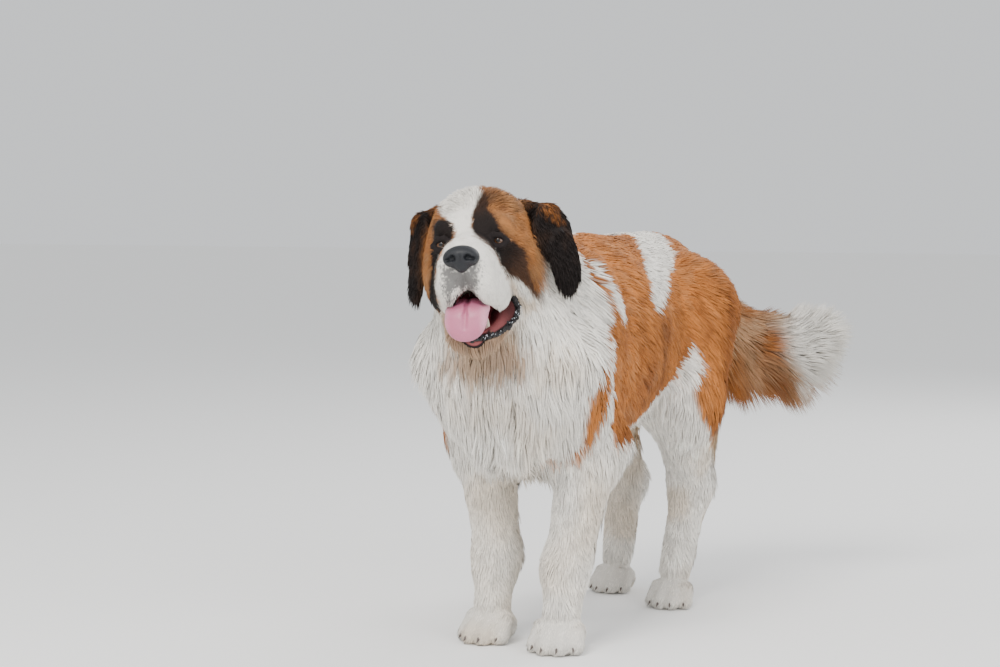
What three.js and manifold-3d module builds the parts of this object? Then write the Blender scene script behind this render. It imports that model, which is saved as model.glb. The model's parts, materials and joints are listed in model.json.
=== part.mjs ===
// A Saint Bernard dog, life size, standing square with its mouth open, its tongue out and its tail swung to its left.
// Millimetres, +Z up. The dog faces -Y, its left side is at +X, and its paws stand on z = 0.
import * as THREE from "three";
import { mergeVertices } from "three/addons/utils/BufferGeometryUtils.js";
import Module from "manifold-3d";

const wasm = await Module();
wasm.setup();

// Driving sizes
const GAP = 0.45; // what is taken off beside a neighbour, so that at least 0.3 is left between two parts
const BODY_BLEND = 45;
const HEAD_BLEND = 20;
const BODY_CELL = 12;
const HEAD_CELL = 4.5;
const PAW_CELL = 5.5;
const EYE_RADIUS = 13;

// The triangles that each smooth form is simplified to, before its cuts and locks
const BODY_TRIANGLES = 2800;
const COAT_TRIANGLES = 5500; // the body with its locks
const HEAD_TRIANGLES = 1700;
const JAW_TRIANGLES = 280;
const EAR_TRIANGLES = 240;
const NOSE_TRIANGLES = 260;
const TONGUE_TRIANGLES = 160;
const TAIL_TRIANGLES = 240;
const TAIL_COAT_TRIANGLES = 1450;
const PAW_TRIANGLES = 360;

// Where the dog stands
const FEET = {
  front_left: { at: [78, -250], heading: 6, size: 1 },
  front_right: { at: [-78, -215], heading: -8, size: 1 },
  hind_left: { at: [74, 272], heading: 4, size: 0.9 },
  hind_right: { at: [-104, 392], heading: -6, size: 0.9 },
};
const KNEES = { hind_left: [108, 232, 420], hind_right: [-112, 292, 420] };
const HOCKS = { hind_left: [84, 338, 236], hind_right: [-108, 446, 228] };
const ELBOW = [106, -186, 368];
const PAW_TOP = 98;
const HOCK_CUT = 262;
const TAIL = [
  { at: [0, 425, 645], r: 38 },
  { at: [42, 500, 566], r: 46 },
  { at: [112, 560, 503], r: 50 },
  { at: [186, 610, 494], r: 48 },
  { at: [238, 640, 520], r: 34 },
];
const HEAD = { at: [-4, -394, 722], turn: [-6, -4.3, 18.5], scale: 1.06 };

// One seeded draw, so that locks differ as real ones do and every build is alike
let seed = 20;
function draw(low, high) {
  seed = (seed * 16807) % 2147483647;
  return low + ((high - low) * seed) / 2147483647;
}

// Rounded forms, which blend where they meet
const vec = (p) => new THREE.Vector3(...p);

function rotation(turn) {
  const [x, y, z] = turn.map(THREE.MathUtils.degToRad);
  return new THREE.Quaternion().setFromEuler(new THREE.Euler(x, y, z, "ZYX"));
}

function ball(at, size, turn = [0, 0, 0], blend = 0) {
  return { at: vec(at), size: vec(size), spin: rotation(turn), blend };
}

function limb(from, fromRadius, to, toRadius, blend = 0) {
  return { from: vec(from), to: vec(to), fromRadius, toRadius, blend };
}

function mirrored(form) {
  const flip = new THREE.Vector3(-1, 1, 1);
  if (form.size) {
    const { x, y, z, w } = form.spin;
    return { ...form, at: form.at.clone().multiply(flip), spin: new THREE.Quaternion(x, -y, -z, w) };
  }
  return { ...form, from: form.from.clone().multiply(flip), to: form.to.clone().multiply(flip) };
}

const both = (...forms) => [...forms, ...forms.map(mirrored)];

function inHead(form) {
  const spin = rotation(HEAD.turn);
  const place = (p) => p.clone().multiplyScalar(HEAD.scale).applyQuaternion(spin).add(vec(HEAD.at));
  const blend = form.blend * HEAD.scale;
  if (form.size) {
    const size = form.size.clone().multiplyScalar(HEAD.scale);
    return { at: place(form.at), size, spin: spin.clone().multiply(form.spin), blend };
  }
  const [fromRadius, toRadius] = [form.fromRadius * HEAD.scale, form.toRadius * HEAD.scale];
  return { from: place(form.from), to: place(form.to), fromRadius, toRadius, blend };
}

const scratch = new THREE.Vector3();
const along = new THREE.Vector3();

function distance(form, p) {
  if (form.size) {
    scratch.copy(p).sub(form.at).applyQuaternion(form.back);
    const { x, y, z } = scratch;
    const { x: a, y: b, z: c } = form.size;
    const near = Math.hypot(x / a, y / b, z / c);
    const slope = Math.hypot(x / (a * a), y / (b * b), z / (c * c));
    return slope < 1e-9 ? -Math.min(a, b, c) : (near * (near - 1)) / slope;
  }
  along.copy(form.to).sub(form.from);
  scratch.copy(p).sub(form.from);
  const t = THREE.MathUtils.clamp(scratch.dot(along) / along.lengthSq(), 0, 1);
  const radius = form.fromRadius + t * (form.toRadius - form.fromRadius);
  return scratch.addScaledVector(along, -t).length() - radius;
}

function boxOf(form) {
  if (!form.size) {
    const r = Math.max(form.fromRadius, form.toRadius);
    return new THREE.Box3().setFromPoints([form.from, form.to]).expandByScalar(r);
  }
  const axes = [
    [form.size.x, 0, 0],
    [0, form.size.y, 0],
    [0, 0, form.size.z],
  ].map((a) => vec(a).applyQuaternion(form.spin));
  const half = new THREE.Vector3(...["x", "y", "z"].map((k) => Math.hypot(...axes.map((a) => a[k]))));
  return new THREE.Box3(form.at.clone().sub(half), form.at.clone().add(half));
}

function blended(a, b, k) {
  const h = Math.max(k - Math.abs(a - b), 0) / k;
  return Math.min(a, b) - (h * h * k) / 4;
}

// A field is forms added together and forms cut away, with the blend between them
function field(added, cut, blend) {
  const ready = (form) => ({ ...form, blend: form.blend || blend, back: form.spin && form.spin.clone().invert() });
  return { added: added.map(ready), cut: cut.map(ready) };
}

function fieldAt({ added, cut }, p) {
  let d = 1e3;
  for (const form of added) d = blended(d, distance(form, p), form.blend);
  for (const form of cut) d = -blended(-d, distance(form, p), form.blend);
  return d;
}

// The closed surface of a field: every cube of the grid is six tetrahedra, each crossed by one or two triangles
const TETRAHEDRA = [
  { path: [1, 2, 4], sign: 1 },
  { path: [2, 4, 1], sign: 1 },
  { path: [4, 1, 2], sign: 1 },
  { path: [2, 1, 4], sign: -1 },
  { path: [1, 4, 2], sign: -1 },
  { path: [4, 2, 1], sign: -1 },
].map(({ path, sign }) => ({ corners: [0, path[0], path[0] | path[1], 7], sign }));

function surfaceOf(shape, cell) {
  const box = new THREE.Box3();
  for (const form of shape.added) box.union(boxOf(form));
  const widest = Math.max(...shape.added.map((form) => form.blend));
  box.expandByScalar(2 * cell + widest / 4);
  const low = box.min;
  const count = box.getSize(new THREE.Vector3()).divideScalar(cell).ceil().addScalar(1);
  const [nx, ny, nz] = count.toArray();
  const step = [1, nx, nx * ny];
  const values = new Float32Array(nx * ny * nz).fill(1e3);
  const p = new THREE.Vector3();
  const paint = (form, change) => {
    const near = boxOf(form).expandByScalar(form.blend * 1.5);
    const first = near.min.sub(low).divideScalar(cell).floor().max(new THREE.Vector3());
    const last = near.max.sub(low).divideScalar(cell).ceil().min(count.clone().subScalar(1));
    for (let k = first.z; k <= last.z; k++)
      for (let j = first.y; j <= last.y; j++)
        for (let i = first.x; i <= last.x; i++) {
          const id = i + j * nx + k * step[2];
          p.set(low.x + i * cell, low.y + j * cell, low.z + k * cell);
          values[id] = change(values[id], distance(form, p), form.blend);
        }
  };
  for (const form of shape.added) paint(form, blended);
  for (const form of shape.cut) paint(form, (d, e, k) => -blended(-d, e, k));

  const points = [];
  const faces = [];
  const made = new Map();
  const idOf = (base, corner) => base + (corner & 1) + (corner & 2 ? nx : 0) + (corner & 4 ? step[2] : 0);
  const crossing = (base, a, b) => {
    const [small, large] = a < b ? [a, b] : [b, a];
    const from = idOf(base, small);
    const key = from * 8 + (large - small);
    if (made.has(key)) return made.get(key);
    const to = idOf(base, large);
    const t = THREE.MathUtils.clamp(values[from] / (values[from] - values[to]), 0.03, 0.97);
    const place = (id) => [id % nx, Math.floor(id / nx) % ny, Math.floor(id / step[2])];
    const [u, v] = [place(from), place(to)];
    points.push(...["x", "y", "z"].map((axis, n) => low[axis] + cell * (u[n] + t * (v[n] - u[n]))));
    made.set(key, points.length / 3 - 1);
    return points.length / 3 - 1;
  };
  const corners = [0, 1, 2, 3, 4, 5, 6, 7];
  for (let k = 0; k < nz - 1; k++)
    for (let j = 0; j < ny - 1; j++)
      for (let i = 0; i < nx - 1; i++) {
        const base = i + j * nx + k * step[2];
        const inside = corners.map((c) => values[idOf(base, c)] < 0);
        if (inside.every((x) => x === inside[0])) continue;
        for (const { corners: tet, sign } of TETRAHEDRA) {
          const order = [...tet.keys()].sort((a, b) => inside[tet[b]] - inside[tet[a]] || a - b);
          const within = tet.filter((c) => inside[c]).length;
          if (within === 0 || within === 4) continue;
          let turned = sign;
          for (let m = 0; m < 4; m++) for (let n = m + 1; n < 4; n++) if (order[m] > order[n]) turned = -turned;
          const [a, b, c, d] = order.map((n) => tet[n]);
          const at = (from, to) => crossing(base, from, to);
          const tris =
            within === 1
              ? [[at(a, b), at(a, c), at(a, d)]]
              : within === 3
                ? [[at(a, d), at(b, d), at(c, d)]]
                : [
                    [at(a, c), at(a, d), at(b, d)],
                    [at(a, c), at(b, d), at(b, c)],
                  ];
          for (const tri of tris) faces.push(...(turned > 0 ? tri : [tri[0], tri[2], tri[1]]));
        }
      }
  return { points: Float64Array.from(points), faces: Int32Array.from(faces) };
}

// Fewer triangles: edges collapse in order of how far they leave the planes of the faces they stood for
class Queue {
  constructor() {
    this.items = [];
  }
  push(item) {
    const a = this.items;
    let i = a.push(item) - 1;
    while (i > 0 && a[(i - 1) >> 1].cost > item.cost) {
      a[i] = a[(i - 1) >> 1];
      i = (i - 1) >> 1;
    }
    a[i] = item;
  }
  pop() {
    const a = this.items;
    const top = a[0];
    const last = a.pop();
    if (!a.length) return top;
    let i = 0;
    for (let next = 1; next < a.length; next = 2 * i + 1) {
      if (next + 1 < a.length && a[next + 1].cost < a[next].cost) next++;
      if (a[next].cost >= last.cost) break;
      a[i] = a[next];
      i = next;
    }
    a[i] = last;
    return top;
  }
}

function simplified({ points, faces }, wanted) {
  const EVEN = 2e-4; // keeps triangles even where a surface is almost flat
  const at = (v) => new THREE.Vector3(points[3 * v], points[3 * v + 1], points[3 * v + 2]);
  const count = points.length / 3;
  const quadric = new Float64Array(count * 10);
  const facesOf = Array.from({ length: count }, () => new Set());
  const version = new Int32Array(count);
  const corners = (f) => [faces[3 * f], faces[3 * f + 1], faces[3 * f + 2]];
  const normalOf = (a, b, c) => b.clone().sub(a).cross(c.clone().sub(a));
  for (let f = 0; f < faces.length / 3; f++) {
    const [a, b, c] = corners(f);
    const n = normalOf(at(a), at(b), at(c));
    const area = n.length();
    n.divideScalar(area || 1);
    const d = -n.dot(at(a));
    const terms = [n.x * n.x, n.x * n.y, n.x * n.z, n.x * d, n.y * n.y, n.y * n.z, n.y * d, n.z * n.z, n.z * d, d * d];
    for (const v of [a, b, c]) {
      terms.forEach((term, i) => (quadric[v * 10 + i] += term * area));
      facesOf[v].add(f);
    }
  }
  const neighbours = (v) => {
    const found = new Set();
    for (const f of facesOf[v]) for (const w of corners(f)) if (w !== v) found.add(w);
    return found;
  };
  const queue = new Queue();
  const offer = (u, v) => {
    const q = Array.from({ length: 10 }, (_, i) => quadric[u * 10 + i] + quadric[v * 10 + i]);
    const middle = at(u).add(at(v)).multiplyScalar(0.5);
    const hold = 1e-3 * (q[0] + q[4] + q[7]) + 1e-9;
    const m = new THREE.Matrix3().set(q[0] + hold, q[1], q[2], q[1], q[4] + hold, q[5], q[2], q[5], q[7] + hold);
    const best = new THREE.Vector3(hold * middle.x - q[3], hold * middle.y - q[6], hold * middle.z - q[8]);
    best.applyMatrix3(m.invert());
    if (!(best.distanceTo(middle) < 2 * at(u).distanceTo(at(v)))) best.copy(middle);
    const { x, y, z } = best;
    const flat = q[0] * x * x + q[4] * y * y + q[7] * z * z + 2 * (q[1] * x * y + q[2] * x * z + q[5] * y * z);
    const error = flat + 2 * (q[3] * x + q[6] * y + q[8] * z) + q[9];
    const cost = Math.max(error, 0) + EVEN * at(u).distanceToSquared(at(v)) * (q[0] + q[4] + q[7]);
    queue.push({ cost, u, v, best, stamp: version[u] + version[v] });
  };
  for (let v = 0; v < count; v++) for (const w of neighbours(v)) if (v < w) offer(v, w);

  let left = faces.length / 3;
  const keepsSense = (v, other, best) => {
    for (const f of facesOf[v]) {
      const three = corners(f);
      if (three.includes(other)) continue;
      const before = normalOf(...three.map(at));
      const after = normalOf(...three.map((w) => (w === v ? best : at(w))));
      if (after.dot(before) < 0.3 * after.length() * before.length() || after.length() < 1e-6) return false;
    }
    return true;
  };
  while (left > wanted && queue.items.length) {
    const { u, v, best, stamp } = queue.pop();
    if (!facesOf[u].size || !facesOf[v].size || stamp !== version[u] + version[v]) continue;
    const around = neighbours(u);
    if (!around.has(v)) continue;
    const shared = [...neighbours(v)].filter((w) => around.has(w));
    if (shared.length !== 2 || !keepsSense(u, v, best) || !keepsSense(v, u, best)) continue;
    for (const f of [...facesOf[v]]) {
      const three = corners(f);
      if (three.includes(u)) {
        for (const w of three) facesOf[w].delete(f);
        left--;
      } else {
        for (let n = 0; n < 3; n++) if (faces[3 * f + n] === v) faces[3 * f + n] = u;
        facesOf[u].add(f);
      }
    }
    facesOf[v].clear();
    points.set(best.toArray(), 3 * u);
    for (let i = 0; i < 10; i++) quadric[u * 10 + i] += quadric[v * 10 + i];
    version[u] += 1 + version[v];
    for (const w of neighbours(u)) offer(u, w);
  }
  const kept = new Set();
  for (let v = 0; v < count; v++) for (const f of facesOf[v]) kept.add(f);
  return { points, faces: Int32Array.from([...kept].flatMap(corners)) };
}

// Between three.js geometries and solids that can be cut and joined
function solidFrom(points, faces) {
  const vertProperties = Float32Array.from(points);
  return new wasm.Manifold(new wasm.Mesh({ numProp: 3, vertProperties, triVerts: Uint32Array.from(faces) }));
}

function solidOf(geometry) {
  const bare = new THREE.BufferGeometry();
  bare.setAttribute("position", geometry.getAttribute("position"));
  bare.setIndex(geometry.index);
  const merged = mergeVertices(bare, 1e-3);
  const at = merged.index.array;
  const whole = [];
  for (let i = 0; i < at.length; i += 3) {
    const three = [at[i], at[i + 1], at[i + 2]];
    if (new Set(three).size === 3) whole.push(...three);
  }
  return solidFrom(merged.getAttribute("position").array, whole);
}

function geometryOf(solid) {
  const mesh = solid.getMesh();
  const n = mesh.numProp;
  const points = new Float32Array(mesh.numVert * 3);
  for (let i = 0; i < mesh.numVert; i++) points.set(mesh.vertProperties.subarray(i * n, i * n + 3), 3 * i);
  const geometry = new THREE.BufferGeometry();
  geometry.setAttribute("position", new THREE.BufferAttribute(points, 3));
  geometry.setIndex(new THREE.BufferAttribute(Uint32Array.from(mesh.triVerts), 1));
  geometry.computeVertexNormals();
  return geometry;
}

// The same solid, a gap larger all round: each corner moves so that all of its faces move out by the gap
function grown(solid, gap = GAP) {
  const mesh = solid.getMesh();
  const n = mesh.numProp;
  const corner = (v) => new THREE.Vector3(...mesh.vertProperties.subarray(v * n, v * n + 3));
  const sums = Array.from({ length: mesh.numVert }, () => ({ square: new Float64Array(6), sum: new THREE.Vector3() }));
  for (let f = 0; f < mesh.triVerts.length; f += 3) {
    const [a, b, c] = [0, 1, 2].map((i) => mesh.triVerts[f + i]);
    const normal = corner(b).sub(corner(a)).cross(corner(c).sub(corner(a))).normalize();
    const { x, y, z } = normal;
    for (const v of [a, b, c]) {
      [x * x, x * y, x * z, y * y, y * z, z * z].forEach((term, i) => (sums[v].square[i] += term));
      sums[v].sum.add(normal);
    }
  }
  const points = new Float32Array(mesh.numVert * 3);
  sums.forEach(({ square: q, sum }, v) => {
    const hold = 0.02 * (q[0] + q[3] + q[5]);
    const m = new THREE.Matrix3().set(q[0] + hold, q[1], q[2], q[1], q[3] + hold, q[4], q[2], q[4], q[5] + hold);
    const move = sum.clone().applyMatrix3(m.invert()).multiplyScalar(gap * 1.06).clampLength(0, 3 * gap);
    points.set(corner(v).add(move).toArray(), 3 * v);
  });
  return solidFrom(points, mesh.triVerts);
}

const largest = (solid) => solid.decompose().reduce((a, b) => (b.volume() > a.volume() ? b : a));
const joined = (...solids) => solids.reduce((a, b) => a.add(b));
const clearOf = (solid, ...others) => others.reduce((a, b) => a.subtract(grown(b)), solid);

function closed({ points, faces }) {
  return solidOf(
    new THREE.BufferGeometry()
      .setAttribute("position", new THREE.BufferAttribute(Float32Array.from(points), 3))
      .setIndex(new THREE.BufferAttribute(Uint32Array.from(faces), 1)),
  );
}

const smooth = (shape, cell, triangles) => closed(simplified(surfaceOf(shape, cell), triangles));

// A joined solid without the slivers where its pieces cross
function thinned(solid, triangles) {
  const geometry = geometryOf(solid);
  const points = Float64Array.from(geometry.getAttribute("position").array);
  return closed(simplified({ points, faces: Int32Array.from(geometry.index.array) }, triangles));
}

function blockSolid(low, high) {
  const size = high.map((x, i) => x - low[i]);
  const geometry = new THREE.BoxGeometry(...size);
  geometry.translate(...low.map((x, i) => x + size[i] / 2));
  return solidOf(geometry);
}

// A prism with its outline in the front view (x, z), from one y to another
function prism(outline, fromY, toY) {
  const shape = new THREE.Shape(outline.map(([x, z]) => new THREE.Vector2(x, z)));
  const geometry = new THREE.ExtrudeGeometry(shape, { depth: toY - fromY, bevelEnabled: false });
  geometry.rotateX(Math.PI / 2);
  geometry.translate(0, toY, 0);
  return solidOf(geometry);
}

// Forms of the body
function torsoForms() {
  return [
    ball([0, -185, 522], [152, 180, 206]),
    ball([0, 0, 540], [158, 230, 192]),
    ball([0, 190, 548], [140, 190, 182]),
    ball([0, 306, 592], [120, 142, 140]),
    limb([0, -250, 684], 54, [0, 365, 678], 54),
    ball([0, -312, 482], [108, 82, 122]),
    ...both(ball([98, -215, 560], [60, 95, 150], [-18, 0, 0]), ball([84, 312, 508], [70, 118, 172], [8, 0, 0])),
  ];
}

function neckForms() {
  return [limb([0, -215, 600], 142, [0, -345, 668], 112), ball([0, -318, 562], [128, 98, 128])];
}

function pawForms({ at: [x, y], heading, size }) {
  const turn = rotation([0, 0, heading]);
  const place = (p) => vec(p).applyQuaternion(turn).multiplyScalar(size).add(new THREE.Vector3(x, y, 0)).toArray();
  const toes = [
    { x: -37, y: -24, r: 19 },
    { x: -13.5, y: -42, r: 20.5 },
    { x: 13.5, y: -42, r: 20.5 },
    { x: 37, y: -24, r: 19 },
  ];
  return [
    ball(place([0, 8, 30]), [44 * size, 44 * size, 34 * size], [0, 0, heading], 14),
    ...toes.map((toe) =>
      limb(place([toe.x * 0.8, toe.y * 0.2, 42]), toe.r * size, place([toe.x, toe.y, 16]), toe.r * 0.94 * size, 6),
    ),
  ];
}

function foreLegForms(foot, side) {
  const elbow = [side * ELBOW[0], ELBOW[1], ELBOW[2]];
  const [x, y] = foot.at;
  const wrist = [x, y + 22, 150];
  return [
    limb([side * 108, -285, 520], 68, elbow, 60),
    limb(elbow, 56, wrist, 37),
    limb(wrist, 37, [x, y + 6, 70], 36),
  ];
}

function hindLegForms(name, side) {
  const foot = FEET[name];
  return [
    limb([side * 90, 305, 590], 92, KNEES[name], 70),
    limb(KNEES[name], 68, HOCKS[name], 37),
    limb(HOCKS[name], 37, [foot.at[0], foot.at[1] + 10, 72], 32),
  ];
}

const LEGS = {
  front_left: foreLegForms(FEET.front_left, 1),
  front_right: foreLegForms(FEET.front_right, -1),
  hind_left: hindLegForms("hind_left", 1),
  hind_right: hindLegForms("hind_right", -1),
};

// Forms of the head, in its own frame: x to its left, y to its back, z up
function headForms() {
  return [
    ball([0, 0, 4], [88, 96, 87], [0, 0, 0], 25),
    ball([0, 60, -6], [84, 62, 76], [0, 0, 0], 25),
    ...both(
      ball([56, -14, -46], [38, 62, 58], [0, 0, 0], 25),
      ball([36, -74, 20], [27, 26, 22], [0, 0, 0], 22),
      ball([28, -150, -66], [28, 50, 44], [0, 0, 0], 14),
      ball([40, -112, -80], [22, 42, 36], [0, 0, 0], 14),
    ),
    limb([0, -66, -22], 44, [0, -172, -38], 40, 20),
  ].map(inHead);
}

function headCuts() {
  return [
    ball([0, -128, -124], [25, 96, 44], [6, 0, 0], 8),
    ball([0, -208, -78], [4, 22, 20], [0, 0, 0], 8),
  ].map(inHead);
}

function lidForms() {
  const open = 12.5;
  const lids = [];
  for (const side of [1, -1])
    for (const [rise, r] of [
      [1, 4.4],
      [-1, 4],
    ])
      for (const [a, b] of [
        [-1, -0.35],
        [-0.35, 0.35],
        [0.35, 1],
      ]) {
        const at = (t) => [
          side * (EYE_AT[0] + t * open),
          EYE_AT[1] - 12 + t * 5 + 3 * t * t,
          EYE_AT[2] + rise * (8 - 8 * t * t) - 1.5 * t,
        ];
        lids.push(limb(at(a), r, at(b), r, 4));
      }
  return lids.map(inHead);
}

const EYE_AT = [45, -86, -4];

function jawForms() {
  return [
    limb([0, -28, -98], 50, [0, -110, -154], 24, 18),
    ...both(limb([42, -48, -112], 22, [22, -118, -152], 16, 14)),
  ].map(inHead);
}

const jawCuts = () => [ball([0, -96, -112], [36, 62, 28], [24, 0, 0], 8)].map(inHead);

function noseForms() {
  return [
    ball([0, -202, -34], [27, 21, 17], [0, 0, 0], 8),
    ...both(ball([15, -207, -38], [13, 14, 12], [0, 0, 0], 6)),
    ball([0, -205, -49], [10, 12, 11], [0, 0, 0], 8),
  ].map(inHead);
}

const noseCuts = () =>
  [
    ...both(ball([13, -224, -38], [6, 11, 5.5], [0, 0, 12], 3), ball([22, -221, -40], [5.5, 9, 3.2], [0, 0, 30], 3)),
    ball([0, -229, -46], [1.6, 10, 15], [0, 0, 0], 3),
  ].map(inHead);

function tongueForms() {
  const path = [
    [2, -52, -96, 26],
    [0, -92, -100, 32],
    [-2, -128, -103, 34],
    [-3, -155, -113, 35],
    [-4, -168, -129, 33],
    [-5, -171, -141, 28],
  ];
  const tilts = [5, 5, 12, 40, 70, 80];
  return path.map(([x, y, z, wide], i) => inHead(ball([x, y, z], [wide, 24, 8], [tilts[i], 0, 0], 12)));
}

const tongueCuts = () =>
  [limb([0, -80, -87], 3, [-3, -138, -93], 3, 5), limb([-3, -146, -97], 3, [-6, -182, -140], 2.5, 5)].map(inHead);

// Each ear: how far out its root, middle and tip are, and how far its flap turns to the front
const EARS = { 1: { root: 108, middle: 116, tip: 134, turn: 40 }, [-1]: { root: 98, middle: 106, tip: 113, turn: 17 } };

function earForms(side) {
  const { root, middle, tip, turn } = EARS[side];
  return [
    limb([side * 68, 22, 50], 22, [side * root, 8, 42], 17, 14),
    ball([side * middle, 6, 16], [11.5, 42, 44], [0, -8 * side, -turn * side], 14),
    ball([side * tip, 6, -32], [9.5, 31, 46], [0, -6 * side, -turn * side], 12),
  ].map(inHead);
}

// The hollow cup is on the inner side of the flap
function earCuts(side) {
  const { middle, turn } = EARS[side];
  const inward = 14;
  const angle = THREE.MathUtils.degToRad(turn);
  const at = [side * (middle - inward * Math.cos(angle)), 6 + inward * Math.sin(angle), 8];
  return [ball(at, [9, 30, 40], [0, -8 * side, -turn * side], 6)].map(inHead);
}

// Locks of the long coat
function lock({ root, lie, out, length, width, thick, lift = 0.25, curl = 0 }) {
  const forward = lie.clone().normalize();
  const side = new THREE.Vector3().crossVectors(forward, out).normalize();
  const up = new THREE.Vector3().crossVectors(side, forward).normalize();
  const stations = [
    { t: 0, wide: 0.8, high: 1 },
    { t: 0.4, wide: 1, high: 0.8 },
    { t: 0.76, wide: 0.62, high: 0.45 },
  ];
  const middle = (t) =>
    root
      .clone()
      .addScaledVector(forward, length * t)
      .addScaledVector(up, length * lift * Math.sin(Math.PI * Math.min(t * 0.8, 1)) * 0.6)
      .addScaledVector(side, curl * length * t * t);
  const points = [];
  for (const { t, wide, high } of stations) {
    const c = middle(t);
    const w = (width * wide) / 2;
    const h = (thick * high) / 2;
    for (const [a, b] of [
      [w, 0],
      [0, h],
      [-w, 0],
      [0, -h],
    ])
      points.push(c.clone().addScaledVector(side, a).addScaledVector(up, b));
  }
  points.push(middle(1));
  const faces = [0, 2, 1, 0, 3, 2];
  for (let ring = 0; ring < 2; ring++)
    for (let i = 0; i < 4; i++) {
      const [a, b] = [ring * 4 + i, ring * 4 + ((i + 1) % 4)];
      faces.push(a, b, b + 4, a, b + 4, a + 4);
    }
  for (let i = 0; i < 4; i++) faces.push(8 + i, 8 + ((i + 1) % 4), 12);
  const made = solidFrom(points.flatMap((q) => q.toArray()), faces);
  return made.volume() > 0 ? made : solidFrom(points.flatMap((q) => q.toArray()), faces.toReversed());
}

// The point where a line from inside the flesh comes out of it
function comesOut(shape, from, direction) {
  const p = from.clone();
  for (let i = 0; i < 60; i++) {
    const d = fieldAt(shape, p);
    if (d > -0.2) break;
    p.addScaledVector(direction, Math.max(-d * 0.8, 0.5));
  }
  return p;
}

function lockOn(shape, { from, direction, lie, depth = 10, ...rest }) {
  const out = direction.clone().normalize();
  const root = comesOut(shape, from, out).addScaledVector(out, -depth);
  return lock({ root, out, lie, ...rest });
}

const body = field([...torsoForms(), ...neckForms(), ...Object.values(LEGS).flat()], [], BODY_BLEND);

function neckLocks() {
  const from = new THREE.Vector3(0, -205, 602);
  const to = new THREE.Vector3(0, -352, 640);
  const axis = to.clone().sub(from).normalize();
  const up = new THREE.Vector3(1, 0, 0).cross(axis).multiplyScalar(-1);
  const locks = [];
  const rows = 4;
  const around = 11;
  for (let row = 0; row < rows; row++)
    for (let i = 0; i < around; i++) {
      const angle = ((i + 0.5 * (row % 2)) / around) * 2 * Math.PI;
      const direction = new THREE.Vector3(Math.cos(angle), 0, 0).addScaledVector(up, Math.sin(angle));
      const low = Math.max(0, -direction.z);
      const lie = new THREE.Vector3(0, 0.5, -1).addScaledVector(direction, 0.18 + 0.25 * low);
      lie.y -= 0.6 * low;
      if (direction.z > 0.5) lie.set(direction.x * 0.6, 1, -0.35);
      locks.push(
        lockOn(body, {
          from: from.clone().lerp(to, 0.12 + (0.78 * row) / (rows - 1)),
          direction,
          lie,
          length: draw(88, 116) * (direction.z > 0.5 ? 0.7 : 1),
          width: draw(44, 58),
          thick: draw(15, 20),
          lift: draw(0.3, 0.42),
          curl: draw(-0.12, 0.12),
        }),
      );
    }
  return locks;
}

function chestLocks() {
  const locks = [];
  for (const [row, z] of [565, 505, 445, 385].entries())
    for (let i = 0; i < 9; i++) {
      const angle = THREE.MathUtils.degToRad(-78 + (156 * (i + 0.35 * (row % 2))) / 8);
      const direction = new THREE.Vector3(Math.sin(angle), -Math.cos(angle), -0.1 - 0.12 * row);
      locks.push(
        lockOn(body, {
          from: new THREE.Vector3(0, -215, z),
          direction,
          lie: new THREE.Vector3(-0.25 * direction.x, 0.12 + 0.1 * row, -1),
          length: draw(82, 108),
          width: draw(38, 52),
          thick: draw(12, 16),
          curl: draw(-0.12, 0.12),
        }),
      );
    }
  return locks;
}

// The fringe of long hair behind the thighs
function breechLocks(side, name) {
  const [kneeX, kneeY, kneeZ] = KNEES[name];
  const locks = [];
  for (let row = 0; row < 4; row++)
    for (const turn of [-30, 5, 40]) {
      const z = kneeZ + 44 - row * 44;
      const direction = vec([Math.sin(THREE.MathUtils.degToRad(turn)) * side, Math.cos(THREE.MathUtils.degToRad(turn)), 0]);
      locks.push(
        lockOn(body, {
          from: new THREE.Vector3(side * 92 + (kneeX - side * 92) * 0.3, kneeY + 40 + row * 12, z),
          direction,
          lie: new THREE.Vector3(0, 0.34, -1),
          length: draw(66, 88),
          width: draw(28, 38),
          thick: draw(10, 14),
          curl: draw(-0.1, 0.1),
        }),
      );
    }
  return locks;
}

function featherLocks(from, to, count, length) {
  const locks = [];
  for (let i = 0; i < count; i++) {
    const t = (i + 0.5) / count;
    locks.push(
      lockOn(body, {
        from: vec(from).lerp(vec(to), t),
        direction: new THREE.Vector3(draw(-0.3, 0.3), 1, 0),
        lie: new THREE.Vector3(draw(-0.1, 0.1), 0.5, -1),
        length: length * (1 - 0.35 * t) * draw(0.9, 1.1),
        width: draw(20, 26),
        thick: draw(8, 10),
        depth: 7,
      }),
    );
  }
  return locks;
}

const tailShape = field(
  TAIL.slice(1).map((end, i) => limb(TAIL[i].at, TAIL[i].r, end.at, end.r)),
  [],
  25,
);

function tailLocks() {
  const path = new THREE.CatmullRomCurve3(TAIL.map(({ at }) => vec(at)));
  const locks = [];
  const rings = 8;
  for (let ring = 0; ring < rings; ring++) {
    const t = 0.2 + (0.77 * ring) / (rings - 1);
    const tangent = path.getTangentAt(t);
    const side = new THREE.Vector3(0, 0, 1).cross(tangent).normalize();
    const up = tangent.clone().cross(side);
    const many = ring === rings - 1 ? 6 : 7;
    for (let i = 0; i < many; i++) {
      const angle = ((i + 0.5 * (ring % 2)) / many) * 2 * Math.PI;
      const direction = side.clone().multiplyScalar(Math.cos(angle)).addScaledVector(up, Math.sin(angle));
      const under = Math.max(0, -direction.z);
      const lie = tangent.clone().addScaledVector(direction, 0.42 + 0.5 * under);
      lie.z -= 0.35 * under;
      locks.push(
        lockOn(tailShape, {
          from: path.getPointAt(t),
          direction,
          lie,
          length: draw(78, 96) * (1 + 0.25 * under) * (ring === rings - 1 ? 0.8 : 1),
          width: draw(32, 42),
          thick: draw(13, 17),
          curl: draw(-0.1, 0.1),
        }),
      );
    }
  }
  return locks;
}

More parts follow.
